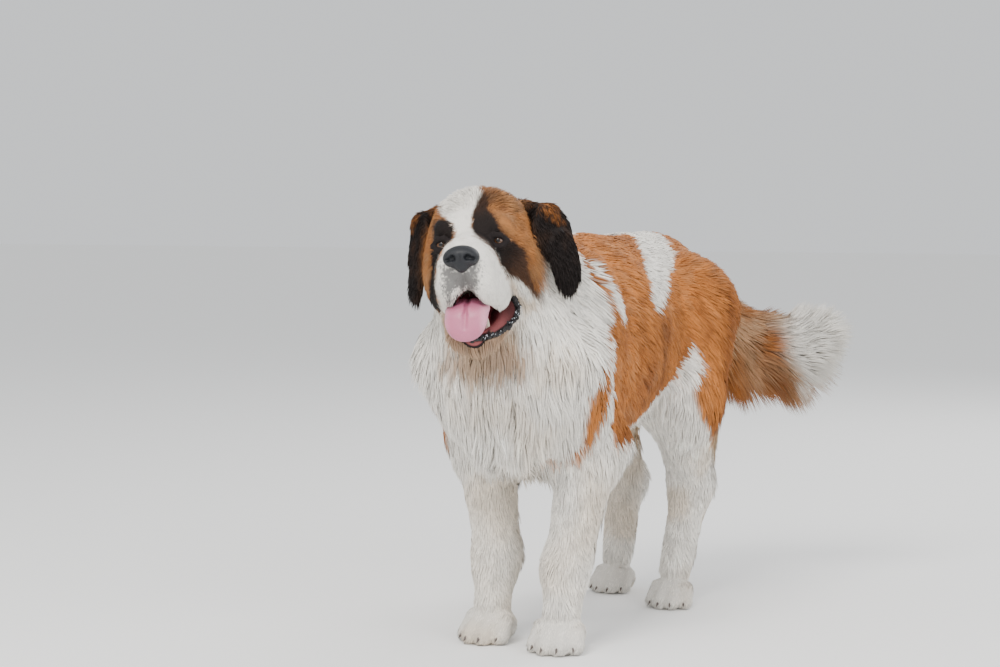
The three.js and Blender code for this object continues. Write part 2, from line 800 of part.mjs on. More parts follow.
// Claws and teeth
function cone(at, toward, radius, length, sides) {
  const geometry = new THREE.ConeGeometry(radius, length, sides);
  geometry.translate(0, length / 2, 0);
  const direction = vec(toward).normalize();
  geometry.applyQuaternion(new THREE.Quaternion().setFromUnitVectors(new THREE.Vector3(0, 1, 0), direction));
  geometry.translate(...at);
  return solidOf(geometry);
}

function clawsOf({ at: [x, y], heading, size }) {
  const turn = rotation([0, 0, heading]);
  return [
    [-37, -38],
    [-13.5, -58],
    [13.5, -58],
    [37, -38],
  ].map(([toeX, toeY]) => {
    const at = vec([toeX, toeY + 6, 15]).applyQuaternion(turn).multiplyScalar(size).add(new THREE.Vector3(x, y, 0));
    const toward = vec([toeX * 0.006, -1, -0.55]).applyQuaternion(turn);
    return cone(at.toArray(), toward.toArray(), 4.6 * size, 19 * size, 6);
  });
}

function canineTeeth() {
  const spin = rotation(HEAD.turn);
  return [1, -1].map((side) => {
    const root = vec([side * 20, -116, -150]).multiplyScalar(HEAD.scale).applyQuaternion(spin).add(vec(HEAD.at));
    const toward = vec([side * 0.15, -0.1, 1]).applyQuaternion(spin);
    return cone(root.toArray(), toward.toArray(), 5, 28, 6);
  });
}

// The flesh in one piece, parted by cuts into torso, neck and legs
const flesh = smooth(body, BODY_CELL, BODY_TRIANGLES);
const FAR = 900;

// In the front view, a leg's share lies outside this line
const foreLine = (side, gap) => {
  const inner = 14 - gap;
  return [
    [inner * side, -20],
    [inner * side, 285 + gap],
    [(62 - gap) * side, 400 + gap],
    [FAR * side, 400 + gap],
    [FAR * side, -20],
  ];
};
const hindLine = (side, gap) => {
  const inner = 8 - gap;
  return [
    [inner * side, -20],
    [inner * side, 345 + gap],
    [(44 - gap) * side, 468 + gap],
    [FAR * side, 468 + gap],
    [FAR * side, -20],
  ];
};
const counterClockwise = (outline, side) => (side > 0 ? outline.toReversed() : outline);
const foreShare = (side, gap) => prism(counterClockwise(foreLine(side, gap), side), -420 - gap, -60 + gap);
const hindShare = (side, gap) => prism(counterClockwise(hindLine(side, gap), side), 95 - gap, 700 + gap);

function neckShare(gap) {
  const geometry = new THREE.BoxGeometry(FAR, FAR, FAR);
  geometry.translate(0, 0, FAR / 2 - gap);
  const normal = new THREE.Vector3(0, -0.74, 0.67).normalize();
  geometry.applyQuaternion(new THREE.Quaternion().setFromUnitVectors(new THREE.Vector3(0, 0, 1), normal));
  geometry.translate(0, -190, 740);
  return solidOf(geometry);
}

const parts = {};

// Head, with its eyes and nose set in it
const eyes = { eye_left: 1, eye_right: -1 };
for (const [name, side] of Object.entries(eyes)) {
  const at = inHead(ball([side * EYE_AT[0], EYE_AT[1], EYE_AT[2]], [1, 1, 1])).at;
  const geometry = new THREE.SphereGeometry(EYE_RADIUS, 12, 8);
  geometry.rotateX(Math.PI / 2);
  geometry.translate(at.x, at.y, at.z);
  parts[name] = solidOf(geometry);
}
parts.nose = largest(smooth(field(noseForms(), noseCuts(), 8), 2.2, NOSE_TRIANGLES));
const headShape = field([...headForms(), ...lidForms()], headCuts(), HEAD_BLEND);
parts.head = largest(
  clearOf(smooth(headShape, HEAD_CELL, HEAD_TRIANGLES), parts.eye_left, parts.eye_right, parts.nose),
);
const jaw = joined(smooth(field(jawForms(), jawCuts(), 14), 4, JAW_TRIANGLES), ...canineTeeth());
parts.jaw = largest(clearOf(jaw, parts.head));
parts.tongue = largest(
  clearOf(smooth(field(tongueForms(), tongueCuts(), 12), 3, TONGUE_TRIANGLES), parts.head, parts.jaw),
);
for (const [name, side] of Object.entries({ ear_left: 1, ear_right: -1 })) {
  const flap = smooth(field(earForms(side), earCuts(side), 10), 3.6, EAR_TRIANGLES);
  parts[name] = largest(clearOf(flap, parts.head));
}
const headParts = ["head", "jaw", "tongue", "ear_left", "ear_right"].map((name) => parts[name]);

// Paws, below a level cut
for (const [name, foot] of Object.entries(FEET)) {
  const lower = LEGS[name].slice(1);
  const shape = field([...lower.slice(1), ...pawForms(foot)], [], 18);
  const whole = joined(smooth(shape, PAW_CELL, PAW_TRIANGLES + 130), ...clawsOf(foot));
  const [x, y] = foot.at;
  parts[`paw_${name}`] = largest(whole.intersect(blockSolid([x - 90, y - 110, 0], [x + 90, y + 130, PAW_TOP])));
}

// The coated body in one piece
const sides = { left: 1, right: -1 };
const bodyLocks = [...chestLocks(), ...neckLocks()];
for (const [word, side] of Object.entries(sides)) {
  const [foot, hindFoot] = [FEET[`front_${word}`].at, FEET[`hind_${word}`].at];
  const hock = HOCKS[`hind_${word}`];
  bodyLocks.push(
    ...featherLocks([side * ELBOW[0], ELBOW[1] + 6, ELBOW[2] - 24], [foot[0], foot[1] + 20, 150], 6, 62),
    ...featherLocks([hock[0], hock[1], hock[2] - 6], [hindFoot[0], hindFoot[1] + 12, 120], 4, 46),
    ...breechLocks(side, `hind_${word}`),
  );
}
const coated = thinned(largest(joined(flesh, ...bodyLocks)), COAT_TRIANGLES);

// Its legs, torso and neck
const aboveFloor = (level) => blockSolid([-FAR, -FAR, level + 0.35], [FAR, FAR, FAR]);
for (const [word, side] of Object.entries(sides)) {
  parts[`foreleg_${word}`] = largest(coated.intersect(foreShare(side, 0)).intersect(aboveFloor(PAW_TOP)));
  const rear = coated.intersect(hindShare(side, 0));
  parts[`thigh_${word}`] = largest(rear.intersect(aboveFloor(HOCK_CUT)));
  const shin = blockSolid([-FAR, -FAR, PAW_TOP + 0.35], [FAR, FAR, HOCK_CUT]);
  parts[`hock_${word}`] = largest(rear.intersect(shin));
}
const legShares = [foreShare(1, 0.4), foreShare(-1, 0.4), hindShare(1, 0.4), hindShare(-1, 0.4)];
const trunk = legShares.reduce((a, b) => a.subtract(b), coated);
parts.torso = largest(clearOf(trunk.subtract(neckShare(0.4)), ...headParts));
parts.neck = largest(clearOf(trunk.intersect(neckShare(0)), ...headParts));
const tail = thinned(largest(joined(smooth(tailShape, 9, TAIL_TRIANGLES), ...tailLocks())), TAIL_COAT_TRIANGLES);
parts.tail = largest(clearOf(tail, parts.torso, parts.thigh_left, parts.thigh_right));

// Colours
const coat = (color, roughness = 0.85) => new THREE.MeshStandardMaterial({ color, roughness, metalness: 0 });
const MATERIALS = {
  white_coat: coat("#e9e3d6"),
  red_coat: coat("#b9713a"),
  dark_coat: coat("#2b211d"),
  nose: coat("#26262b", 0.45),
  tongue: coat("#c9799a", 0.4),
  eye: coat("#2a170c", 0.1),
};
const SLOTS = {
  torso: "red_coat",
  thigh_left: "red_coat",
  thigh_right: "red_coat",
  tail: "white_coat",
  ear_left: "dark_coat",
  ear_right: "dark_coat",
  head: "red_coat",
  nose: "nose",
  tongue: "tongue",
  eye_left: "eye",
  eye_right: "eye",
};

const dog = new THREE.Group();
for (const [name, solid] of Object.entries(parts)) {
  const mesh = new THREE.Mesh(geometryOf(solid), MATERIALS[SLOTS[name] ?? "white_coat"]);
  mesh.name = name;
  dog.add(mesh);
}

// The origin is under the middle of the whole dog
const reach = new THREE.Box3().setFromObject(dog);
dog.position.set(-(reach.min.x + reach.max.x) / 2, -(reach.min.y + reach.max.y) / 2, 0);

export default dog;
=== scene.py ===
import json
import math

import bpy
import numpy as np
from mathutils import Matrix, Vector, kdtree

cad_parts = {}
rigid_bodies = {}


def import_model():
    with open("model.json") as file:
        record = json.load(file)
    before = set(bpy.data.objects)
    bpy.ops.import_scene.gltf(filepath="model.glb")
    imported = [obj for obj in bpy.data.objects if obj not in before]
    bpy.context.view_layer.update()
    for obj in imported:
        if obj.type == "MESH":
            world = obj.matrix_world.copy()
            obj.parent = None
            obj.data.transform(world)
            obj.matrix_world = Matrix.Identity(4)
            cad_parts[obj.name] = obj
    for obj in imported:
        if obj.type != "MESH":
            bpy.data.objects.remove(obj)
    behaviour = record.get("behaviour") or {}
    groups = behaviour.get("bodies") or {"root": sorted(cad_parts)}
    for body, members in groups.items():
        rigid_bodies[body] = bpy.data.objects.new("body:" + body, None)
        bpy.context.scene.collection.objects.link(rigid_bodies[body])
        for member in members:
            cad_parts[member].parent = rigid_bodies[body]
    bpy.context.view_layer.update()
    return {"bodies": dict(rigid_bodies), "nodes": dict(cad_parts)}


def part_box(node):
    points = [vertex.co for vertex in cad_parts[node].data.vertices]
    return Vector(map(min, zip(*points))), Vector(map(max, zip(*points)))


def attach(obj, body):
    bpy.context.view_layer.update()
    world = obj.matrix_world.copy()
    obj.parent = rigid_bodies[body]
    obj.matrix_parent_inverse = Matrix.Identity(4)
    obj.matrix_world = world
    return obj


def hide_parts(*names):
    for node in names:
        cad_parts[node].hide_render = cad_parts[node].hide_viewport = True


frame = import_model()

rng = np.random.default_rng(7)

# The forms of the dog, as in the source of its solids: millimetres, facing -Y, its left at +X, paws on z = 0
BODY_BLEND = 45
HEAD_BLEND = 20
TAIL_BLEND = 25
PAW_BLEND = 14
JAW_BLEND = 14
EAR_BLEND = 10
NOSE_BLEND = 8
TONGUE_BLEND = 12
FEET = {
    "front_left": ((78, -250), 6, 1.0),
    "front_right": ((-78, -215), -8, 1.0),
    "hind_left": ((74, 272), 4, 0.9),
    "hind_right": ((-104, 392), -6, 0.9),
}
KNEES = {"hind_left": (108, 232, 420), "hind_right": (-112, 292, 420)}
HOCKS = {"hind_left": (84, 338, 236), "hind_right": (-108, 446, 228)}
ELBOW = (106, -186, 368)
TAIL_PATH = (
    ((0, 425, 645), 38), ((42, 500, 566), 46), ((112, 560, 503), 50),
    ((186, 610, 494), 48), ((238, 640, 520), 34),
)
HEAD_AT = np.array((-4, -394, 722.0))
HEAD_TURN = (-6, -4.3, 18.5)
HEAD_SCALE = 1.06
EYE_AT = (45, -86, -4)
EYE_SHIFT = (-3, -4)  # the dressed eyes lie this far to the head's right and to the front of the solid ones


def rotation(turn):
    """Turns about x, then y, then z, in degrees."""
    (sx, sy, sz), (cx, cy, cz) = np.sin(np.radians(turn)), np.cos(np.radians(turn))
    about_x = np.array([[1, 0, 0], [0, cx, -sx], [0, sx, cx]])
    about_y = np.array([[cy, 0, sy], [0, 1, 0], [-sy, 0, cy]])
    about_z = np.array([[cz, -sz, 0], [sz, cz, 0], [0, 0, 1]])
    return about_z @ about_y @ about_x


HEAD_SPIN = rotation(HEAD_TURN)


def ball(at, size, turn=(0, 0, 0), blend=0):
    return {"at": np.array(at, float), "size": np.array(size, float), "spin": rotation(turn), "blend": blend}


def limb(start, start_radius, end, end_radius, blend=0):
    radii = (start_radius, end_radius)
    return {"start": np.array(start, float), "end": np.array(end, float), "radii": radii, "blend": blend}


def chain(stops, blend=0):
    """Limbs through (place, radius) stops."""
    return [limb(a, ra, b, rb, blend) for (a, ra), (b, rb) in zip(stops, stops[1:])]


def mirrored(form):
    flip = np.array([-1.0, 1, 1])
    if "size" in form:
        return {**form, "at": form["at"] * flip, "spin": form["spin"] * np.outer(flip, flip)}
    return {**form, "start": form["start"] * flip, "end": form["end"] * flip}


def both(*forms):
    return [*forms, *[mirrored(form) for form in forms]]


def head_point(p):
    """A point of the head's own frame, in the dog's frame."""
    return HEAD_SCALE * np.asarray(p, float) @ HEAD_SPIN.T + HEAD_AT


def head_frame(p):
    """Points of the dog's frame, in the head's own frame."""
    return (p - HEAD_AT) @ HEAD_SPIN / HEAD_SCALE


def in_head(*forms):
    """Forms told in the head's own frame, in the dog's frame."""
    moved = []
    for form in forms:
        new = {"blend": form["blend"] * HEAD_SCALE}
        if "size" in form:
            new.update(at=head_point(form["at"]), size=form["size"] * HEAD_SCALE)
            new["spin"] = HEAD_SPIN @ form["spin"]
        else:
            new.update(start=head_point(form["start"]), end=head_point(form["end"]))
            new["radii"] = tuple(r * HEAD_SCALE for r in form["radii"])
        moved.append(new)
    return moved


def from_segment(p, a, b):
    """The way to each point from the nearest place on a segment, and how far along it that place is."""
    edge = b - a
    t = np.clip(((p - a) @ edge) / (edge @ edge), 0, 1)
    return p - (a + t[..., None] * edge), t


def distance(form, p):
    if "size" in form:
        q = (p - form["at"]) @ form["spin"]
        size = form["size"]
        near = np.linalg.norm(q / size, axis=-1)
        slope = np.linalg.norm(q / size**2, axis=-1)
        return np.where(slope < 1e-9, -size.min(), near * (near - 1) / np.maximum(slope, 1e-9))
    away, t = from_segment(p, form["start"], form["end"])
    radius = form["radii"][0] + t * (form["radii"][1] - form["radii"][0])
    return np.linalg.norm(away, axis=-1) - radius


def reach_of(form):
    if "size" in form:
        half = np.sqrt(((form["spin"] * form["size"]) ** 2).sum(1))
        return form["at"] - half, form["at"] + half
    r = max(form["radii"])
    return np.minimum(form["start"], form["end"]) - r, np.maximum(form["start"], form["end"]) + r


def blended(a, b, k):
    h = np.maximum(k - np.abs(a - b), 0) / k
    return np.minimum(a, b) - h * h * k / 4


TORSO = [
    ball((0, -185, 522), (152, 180, 206)),
    ball((0, 0, 540), (158, 230, 192)),
    ball((0, 190, 548), (140, 190, 182)),
    ball((0, 306, 592), (120, 142, 140)),
    limb((0, -250, 684), 54, (0, 365, 678), 54),
    ball((0, -312, 482), (108, 82, 122)),
    *both(ball((98, -215, 560), (60, 95, 150), (-18, 0, 0)), ball((84, 312, 508), (70, 118, 172), (8, 0, 0))),
]
NECK = [limb((0, -215, 600), 142, (0, -345, 668), 112), ball((0, -318, 562), (128, 98, 128))]
TAIL = chain(TAIL_PATH, TAIL_BLEND)


def leg_forms():
    forms = []
    for side, word in ((1, "left"), (-1, "right")):
        x, y = FEET["front_" + word][0]
        elbow = (side * ELBOW[0], ELBOW[1], ELBOW[2])
        wrist = (x, y + 22, 150)
        forms.append(limb((side * 108, -285, 520), 68, elbow, 60))
        forms += chain(((elbow, 56), (wrist, 37), ((x, y + 6, 70), 36)))
        name = "hind_" + word
        x, y = FEET[name][0]
        forms.append(limb((side * 90, 305, 590), 92, KNEES[name], 70))
        forms += chain(((KNEES[name], 68), (HOCKS[name], 37), ((x, y + 10, 72), 32)))
    return forms


TOES = ((-37, -24, 19), (-13.5, -42, 20.5), (13.5, -42, 20.5), (37, -24, 19))


def paw_point(name, p):
    (x, y), heading, size = FEET[name]
    return rotation((0, 0, heading)) @ np.array(p, float) * size + (x, y, 0)


def paw_forms(name):
    _, heading, size = FEET[name]
    forms = [ball(paw_point(name, (0, 8, 30)), np.array((44, 44, 34)) * size, (0, 0, heading), 14)]
    for x, y, r in TOES:
        start, end = paw_point(name, (x * 0.8, y * 0.2, 42)), paw_point(name, (x, y, 16))
        forms.append(limb(start, r * size, end, r * 0.94 * size, 6))
    return forms


HEAD = in_head(
    ball((0, 0, 4), (88, 96, 87), blend=25),
    ball((0, 60, -6), (84, 62, 76), blend=25),
    *both(
        ball((56, -14, -46), (38, 62, 58), blend=25),
        ball((36, -74, 20), (27, 26, 22), blend=22),
        ball((28, -150, -66), (28, 50, 44), blend=14),
        ball((40, -112, -80), (22, 42, 36), blend=14),
    ),
    limb((0, -66, -22), 44, (0, -172, -38), 40, 20),
)
HEAD_CUTS = in_head(
    ball((0, -128, -124), (25, 96, 44), (6, 0, 0), 8),
    ball((0, -208, -78), (4, 22, 20), blend=8),
)
JAW = in_head(
    limb((0, -28, -98), 50, (0, -110, -154), 24, 18),
    *both(limb((42, -48, -112), 22, (22, -118, -152), 16, 14)),
)
JAW_CUTS = in_head(ball((0, -96, -112), (36, 62, 28), (24, 0, 0), 8))
NOSE = in_head(
    ball((0, -202, -34), (27, 21, 17), blend=8),
    *both(ball((15, -207, -38), (13, 14, 12), blend=6)),
    ball((0, -205, -49), (10, 12, 11), blend=8),
)
NOSE_CUTS = in_head(
    *both(
        ball((13, -224, -38), (6, 11, 5.5), (0, 0, 12), 3),
        ball((22, -221, -40), (5.5, 9, 3.2), (0, 0, 30), 3),
    ),
    ball((0, -229, -46), (1.6, 10, 15), blend=3),
)
# The tongue's path: place, half width and tilt
TONGUE_PATH = (
    (2, -52, -96, 26, 5), (0, -92, -100, 32, 5), (-2, -128, -103, 34, 12), (-3, -155, -113, 35, 40),
    (-4, -168, -129, 33, 70), (-5, -171, -141, 28, 80),
)
TONGUE = in_head(*[ball((x, y, z), (wide, 24, 8), (tilt, 0, 0), 12) for x, y, z, wide, tilt in TONGUE_PATH])
# The dressed tongue's groove is one smooth line
GROOVE = ((0, -80, -89), (-2, -130, -93), (-3, -161, -104), (-4, -178, -124), (-5, -182, -142))
TONGUE_CUTS = in_head(*chain([(stop, 2.4) for stop in GROOVE], 5))


def lid_forms():
    half_width = 15
    x, y, z = EYE_AT[0], EYE_AT[1] + EYE_SHIFT[1] - 12, EYE_AT[2]
    forms = []
    for side in (1, -1):
        for rise, r in ((9.8, 4.3), (-10.2, 4.4)):
            stops = []
            for t in (-1, -0.35, 0.35, 1):
                across = side * (x + t * half_width) + EYE_SHIFT[0]
                stops.append(((across, y + t * 5 + 3 * t * t, z + rise * (1 - t * t) - 1.5 * t), r))
            forms += chain(stops, 4)
    return in_head(*forms)


# Each ear: how far out its root, middle and tip are, and how far its flap turns to the front. The dressed
# right ear lies up to 4 mm farther in than the solid one and turns more to the front.
EARS = {1: (108, 116, 134, 40), -1: (97, 103, 109, 26)}


def ear_forms(side):
    root, middle, tip, turn = EARS[side]
    return in_head(
        limb((side * 68, 22, 50), 22, (side * root, 8, 42), 17, 14),
        ball((side * middle, 6, 16), (11.5, 42, 44), (0, -8 * side, -turn * side), 14),
        ball((side * tip, 6, -32), (9.5, 31, 46), (0, -6 * side, -turn * side), 12),
    )


def ear_cuts(side):
    _, middle, _, turn = EARS[side]
    inward = 14
    x = side * (middle - inward * math.cos(math.radians(turn)))
    y = 6 + inward * math.sin(math.radians(turn))
    return in_head(ball((x, y, 8), (9, 30, 40), (0, -8 * side, -turn * side), 6))


# The forms, cuts and blend of each region of the coat
REGIONS = {
    "torso": (TORSO, [], BODY_BLEND),
    "neck": (NECK, [], BODY_BLEND),
    "leg": (leg_forms(), [], BODY_BLEND),
    "paw": ([form for name in FEET for form in paw_forms(name)], [], PAW_BLEND),
    "tail": (TAIL, [], TAIL_BLEND),
    "head": (HEAD, HEAD_CUTS, HEAD_BLEND),
    "jaw": (JAW, JAW_CUTS, JAW_BLEND),
    "ear": (ear_forms(1) + ear_forms(-1), [], EAR_BLEND),
}
NAMES = list(REGIONS)
LIDS = lid_forms()


def grid_field(forms, cuts, low, high, cell, blend):
    """The field of blended forms on a grid of points."""
    low = np.array(low, float)
    count = np.ceil((np.array(high) - low) / cell).astype(int) + 1
    axes = [low[i] + cell * np.arange(count[i]) for i in range(3)]
    field = np.full(count, 1e3)
    for sign, group in ((1, forms), (-1, cuts)):
        for form in group:
            k = form["blend"] or blend
            start, end = reach_of(form)
            first = np.maximum(np.floor((start - k * 1.5 - low) / cell).astype(int), 0)
            last = np.minimum(np.ceil((end + k * 1.5 - low) / cell).astype(int) + 1, count)
            if (last <= first).any():
                continue
            part = tuple(slice(a, b) for a, b in zip(first, last))
            p = np.stack(np.meshgrid(*[axes[i][part[i]] for i in range(3)], indexing="ij"), -1)
            field[part] = sign * blended(sign * field[part], distance(form, p), k)
    return field, low


def field_at(forms, p, blend, cuts=()):
    """The field of blended forms at some points."""
    field = np.full(len(p), 1e3)
    for sign, group in ((1, forms), (-1, cuts)):
        for form in group:
            field = sign * blended(sign * field, distance(form, p), form["blend"] or blend)
    return field


# Where the frame has the dog: the left eye tells how far the solids were moved over the origin
low, high = (np.array(corner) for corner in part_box("eye_left"))
SHIFT = (low + high) / 2 * 1000 - head_point(EYE_AT)
SHIFT[2] = 0


def metres(p):
    return (np.asarray(p, float) + SHIFT) / 1000


# Coat depths in millimetres: the skin lies this far inside the forms
DEPTH = {"torso": 11, "neck": 9, "leg": 4, "paw": 1.5, "tail": 5, "head": 2.5, "ear": 1.2, "jaw": 2}
BODY_CELL = 4.5
HEAD_CELL = 2.0
HEAD_ROOM = ((-190, -660, 500), (210, -275, 860))
FLOOR_GAP = 1.0


def inside(region):
    """The forms of a region, made smaller by the depth of its coat."""
    depth = DEPTH[region]
    smaller = []
    for form in REGIONS[region][0]:
        if "size" in form:
            smaller.append({**form, "size": np.maximum(form["size"] - depth, 2)})
        else:
            smaller.append({**form, "radii": tuple(max(r - depth, 2) for r in form["radii"])})
    return smaller


def nets(field, low, cell):
    """The zero surface of a field on a grid, as vertices and four-sided faces."""
    within = field < 0
    n = np.array(field.shape)
    total = np.zeros((*(n - 1), 3))
    hits = np.zeros(n - 1)
    crossings = []
    for axis in range(3):
        lower, upper = [slice(None)] * 3, [slice(None)] * 3
        lower[axis], upper[axis] = slice(0, -1), slice(1, None)
        lower, upper = tuple(lower), tuple(upper)
        changes = within[lower] != within[upper]
        where = np.argwhere(changes)
        start, end = field[lower][changes], field[upper][changes]
        place = where.astype(float)
        place[:, axis] += start / (start - end)
        second, third = ((1, 2), (2, 0), (0, 1))[axis]
        for step_a in (0, -1):
            for step_b in (0, -1):
                cube = where.copy()
                cube[:, second] += step_a
                cube[:, third] += step_b
                ok = ((cube >= 0) & (cube < n - 1)).all(1)
                np.add.at(total, tuple(cube[ok].T), place[ok])
                np.add.at(hits, tuple(cube[ok].T), 1)
        crossings.append((second, third, where, within[lower][changes]))
    used = hits > 0
    index = np.full(hits.shape, -1)
    index[used] = np.arange(used.sum())
    vertices = low + cell * (total[used] / hits[used][:, None])
    faces = []
    for second, third, where, starts_within in crossings:
        ok = (where[:, second] > 0) & (where[:, third] > 0)
        ok &= (where[:, second] < n[second] - 1) & (where[:, third] < n[third] - 1)
        where, starts_within = where[ok], starts_within[ok]
        corners = []
        for step_a, step_b in ((0, 0), (-1, 0), (-1, -1), (0, -1)):
            cube = where.copy()
            cube[:, second] += step_a
            cube[:, third] += step_b
            corners.append(index[tuple(cube.T)])
        quads = np.stack(corners, 1)
        quads[~starts_within] = quads[~starts_within][:, ::-1]
        faces.append(quads)
    return vertices, np.concatenate(faces)


def surface(forms, cuts, cell, blend):
    starts, ends = zip(*[reach_of(form) for form in forms])
    margin = 2 * cell + blend / 4 + 4
    field, low = grid_field(forms, cuts, np.min(starts, 0) - margin, np.max(ends, 0) + margin, cell, blend)
    return nets(field, low, cell)

def body_surface():
    forms = [form for region in ("torso", "neck", "leg", "paw", "tail") for form in inside(region)]
    starts, ends = zip(*[reach_of(form) for form in forms])
    low = np.min(starts, 0) - 20
    low[2] = 0.5 * BODY_CELL - 3 * BODY_CELL
    field, low = grid_field(forms, [], low, np.max(ends, 0) + 20, BODY_CELL, BODY_BLEND)
    levels = low[2] + BODY_CELL * np.arange(field.shape[2])
    field = np.maximum(field, (FLOOR_GAP - levels)[None, None, :])
    return nets(field, low, BODY_CELL)


def head_surface():
    low, high = HEAD_ROOM
    head, _ = grid_field(inside("head") + LIDS, HEAD_CUTS, low, high, HEAD_CELL, HEAD_BLEND)
    jaw, _ = grid_field(inside("jaw"), JAW_CUTS, low, high, HEAD_CELL, JAW_BLEND)
    neck, _ = grid_field(inside("neck"), [], low, high, HEAD_CELL, BODY_BLEND)
    field = blended(blended(head, jaw, 8), neck, 24)
    ears = inside("ear")
    for side, forms in ((1, ears[:3]), (-1, ears[3:])):
        ear, _ = grid_field(forms, ear_cuts(side), low, high, HEAD_CELL, EAR_BLEND)
        field = blended(field, ear, 8)
    return nets(field, np.array(low, float), HEAD_CELL)


def regions_of(p):
    """How near each point is to each region's forms, as a share of one."""
    d = np.stack([field_at(forms, p, blend, cuts) for forms, cuts, blend in REGIONS.values()], 1)
    d[:, NAMES.index("neck")] += 6
    d[:, NAMES.index("leg")] += np.where(p[:, 2] > 420, 0.35 * (p[:, 2] - 420), 0)
    d[:, NAMES.index("paw")] -= 4
    near = np.exp(-(d - d.min(1, keepdims=True)) / 9)
    return near / near.sum(1, keepdims=True)


def weight_of(weights, *regions):
    return sum(weights[:, NAMES.index(name)] for name in regions)


def by_weight(weights, values):
    """One value for each point from the regions' own values."""
    return sum(weights[:, i] * values[name] for i, name in enumerate(NAMES))


# Smooth random fields, for waves in the coat and broken edges of the markings
LATTICE = np.random.default_rng(3).uniform(-1, 1, (32, 32, 32, 3))


def noise(p, size):
    """Three smooth random values for each point, from -1 to 1, that change over the given distance."""
    q = np.asarray(p) / size
    base = np.floor(q).astype(int)
    t = q - base
    t = t * t * (3 - 2 * t)
    value = 0
    for corner in np.ndindex(2, 2, 2):
        weight = np.prod(np.where(corner, t, 1 - t), axis=1)
        i, j, k = ((base + corner) % 32).T
        value = value + weight[:, None] * LATTICE[i, j, k]
    return value


def unit(v):
    return v / np.maximum(np.linalg.norm(v, axis=-1, keepdims=True), 1e-9)


def columns(*values):
    """Vectors from their parts, each a number or an array."""
    return np.stack(np.broadcast_arrays(*values), -1)


def smoothstep(low, high, x):
    t = np.clip((x - low) / (high - low), 0, 1)
    return t * t * (3 - 2 * t)


def in_polygon(points, outline):
    """Signed distance of each point to a closed outline, negative inside."""
    outline = np.array(outline, float)
    nearest = np.full(len(points), 1e9)
    within = np.zeros(len(points), bool)
    for a, b in zip(outline, np.roll(outline, -1, 0)):
        away, _ = from_segment(points, a, b)
        nearest = np.minimum(nearest, np.linalg.norm(away, axis=1))
        if a[1] != b[1]:
            crosses = (a[1] > points[:, 1]) != (b[1] > points[:, 1])
            within ^= crosses & (points[:, 0] < (b[0] - a[0]) * (points[:, 1] - a[1]) / (b[1] - a[1]) + a[0])
    return np.where(within, -nearest, nearest)


# Coat colours, linear
WHITE = np.array((0.86, 0.82, 0.75))
CREAM = np.array((0.72, 0.55, 0.36))
RED = np.array((0.50, 0.178, 0.044))
DEEP_RED = np.array((0.20, 0.064, 0.018))
TAN = np.array((0.33, 0.175, 0.078))
BROWN = np.array((0.075, 0.036, 0.020))
DARK = np.array((0.016, 0.012, 0.011))
SPECKLE = np.array((0.030, 0.032, 0.040))
PINK = np.array((0.33, 0.10, 0.10))
LIP_DARK = np.array((0.018, 0.014, 0.014))

# Markings of the body, as outlines in the side view (y, z)
ORANGE_LEFT = (
    (-247, 716), (-262, 690), (-257, 660), (-254, 608), (-268, 587), (-295, 564), (-310, 530), (-308, 481),
    (-303, 450), (-293, 420), (-277, 387), (-259, 352), (-228, 380), (-196, 391), (-60, 385), (23, 400),
    (100, 420), (200, 345), (300, 330), (350, 400), (440, 430), (490, 560), (480, 670), (430, 745),
    (60, 760), (-200, 760),
)
WHITE_LEFT = (
    ((-251, 690), (-243, 660), (-232, 637), (-215, 623), (-165, 600), (-112, 596), (-125, 612), (-188, 647),
     (-229, 674), (-238, 692)),
    ((-242, 582), (-278, 562), (-290, 536), (-277, 512), (-269, 492), (-267, 465), (-271, 432), (-267, 396),
     (-258, 345), (-222, 345), (-228, 384), (-236, 408), (-240, 447), (-255, 490), (-258, 512), (-228, 538),
     (-217, 560)),
    ((161, 737), (136, 720), (113, 700), (64, 675), (12, 649), (-8, 627), (-9, 611), (9, 608), (68, 616),
     (113, 629), (139, 645), (160, 663), (209, 675), (236, 690), (256, 709), (286, 727), (300, 770),
     (150, 770)),
    ((191, 533), (176, 504), (162, 480), (150, 458), (129, 445), (95, 433), (90, 300), (262, 290),
     (272, 347), (206, 380), (184, 405), (175, 432), (177, 457), (189, 485), (196, 511)),
)
ORANGE_RIGHT = (
    (-235, 720), (-255, 660), (-290, 590), (-300, 520), (-285, 440), (-240, 372), (-170, 372), (-60, 385),
    (120, 400), (250, 392), (330, 360), (390, 330), (440, 430), (490, 560), (480, 670), (430, 745),
    (60, 760), (-200, 760),
)
WHITE_RIGHT = (
    ((-225, 700), (-208, 650), (-196, 560), (-205, 470), (-222, 400), (-236, 440), (-232, 540), (-236, 630)),
    ((130, 770), (320, 770), (300, 725), (220, 668), (170, 640), (140, 700)),
    ((230, 490), (262, 440), (330, 372), (390, 330), (250, 330), (190, 380)),
)
# Painted shade in the crease between the flank and the left thigh, as an outline in the side view (y, z)
CREASE_SHADE = ((0, 628), (32, 630), (70, 560), (98, 470), (96, 425), (66, 425), (30, 500), (8, 560))
CREAM_REAR = (
    (415, 690), (520, 700), (520, 400), (330, 310), (282, 338), (305, 400), (342, 470), (374, 560),
    (392, 640),
)


def share(edge, width):
    return 1 - smoothstep(-width, width, edge)


def mix(a, b, t):
    return a + (b - a) * np.asarray(t)[:, None]


def red_coat(p):
    """Orange that deepens in broad patches, in streaks along the coat and from strand to strand."""
    broad, strand = noise(p, 95), noise(p + 70, 9)
    streak = noise(p * (1, 0.8, 0.3) + 40, 14)
    deep = 0.3 + 0.45 * broad[:, 2] + 0.4 * streak[:, 0] + 0.3 * strand[:, 0]
    pale = 0.06 * smoothstep(0.1, 0.7, streak[:, 1])
    return mix(mix(RED, DEEP_RED, np.clip(deep, 0, 0.85)), CREAM, pale)


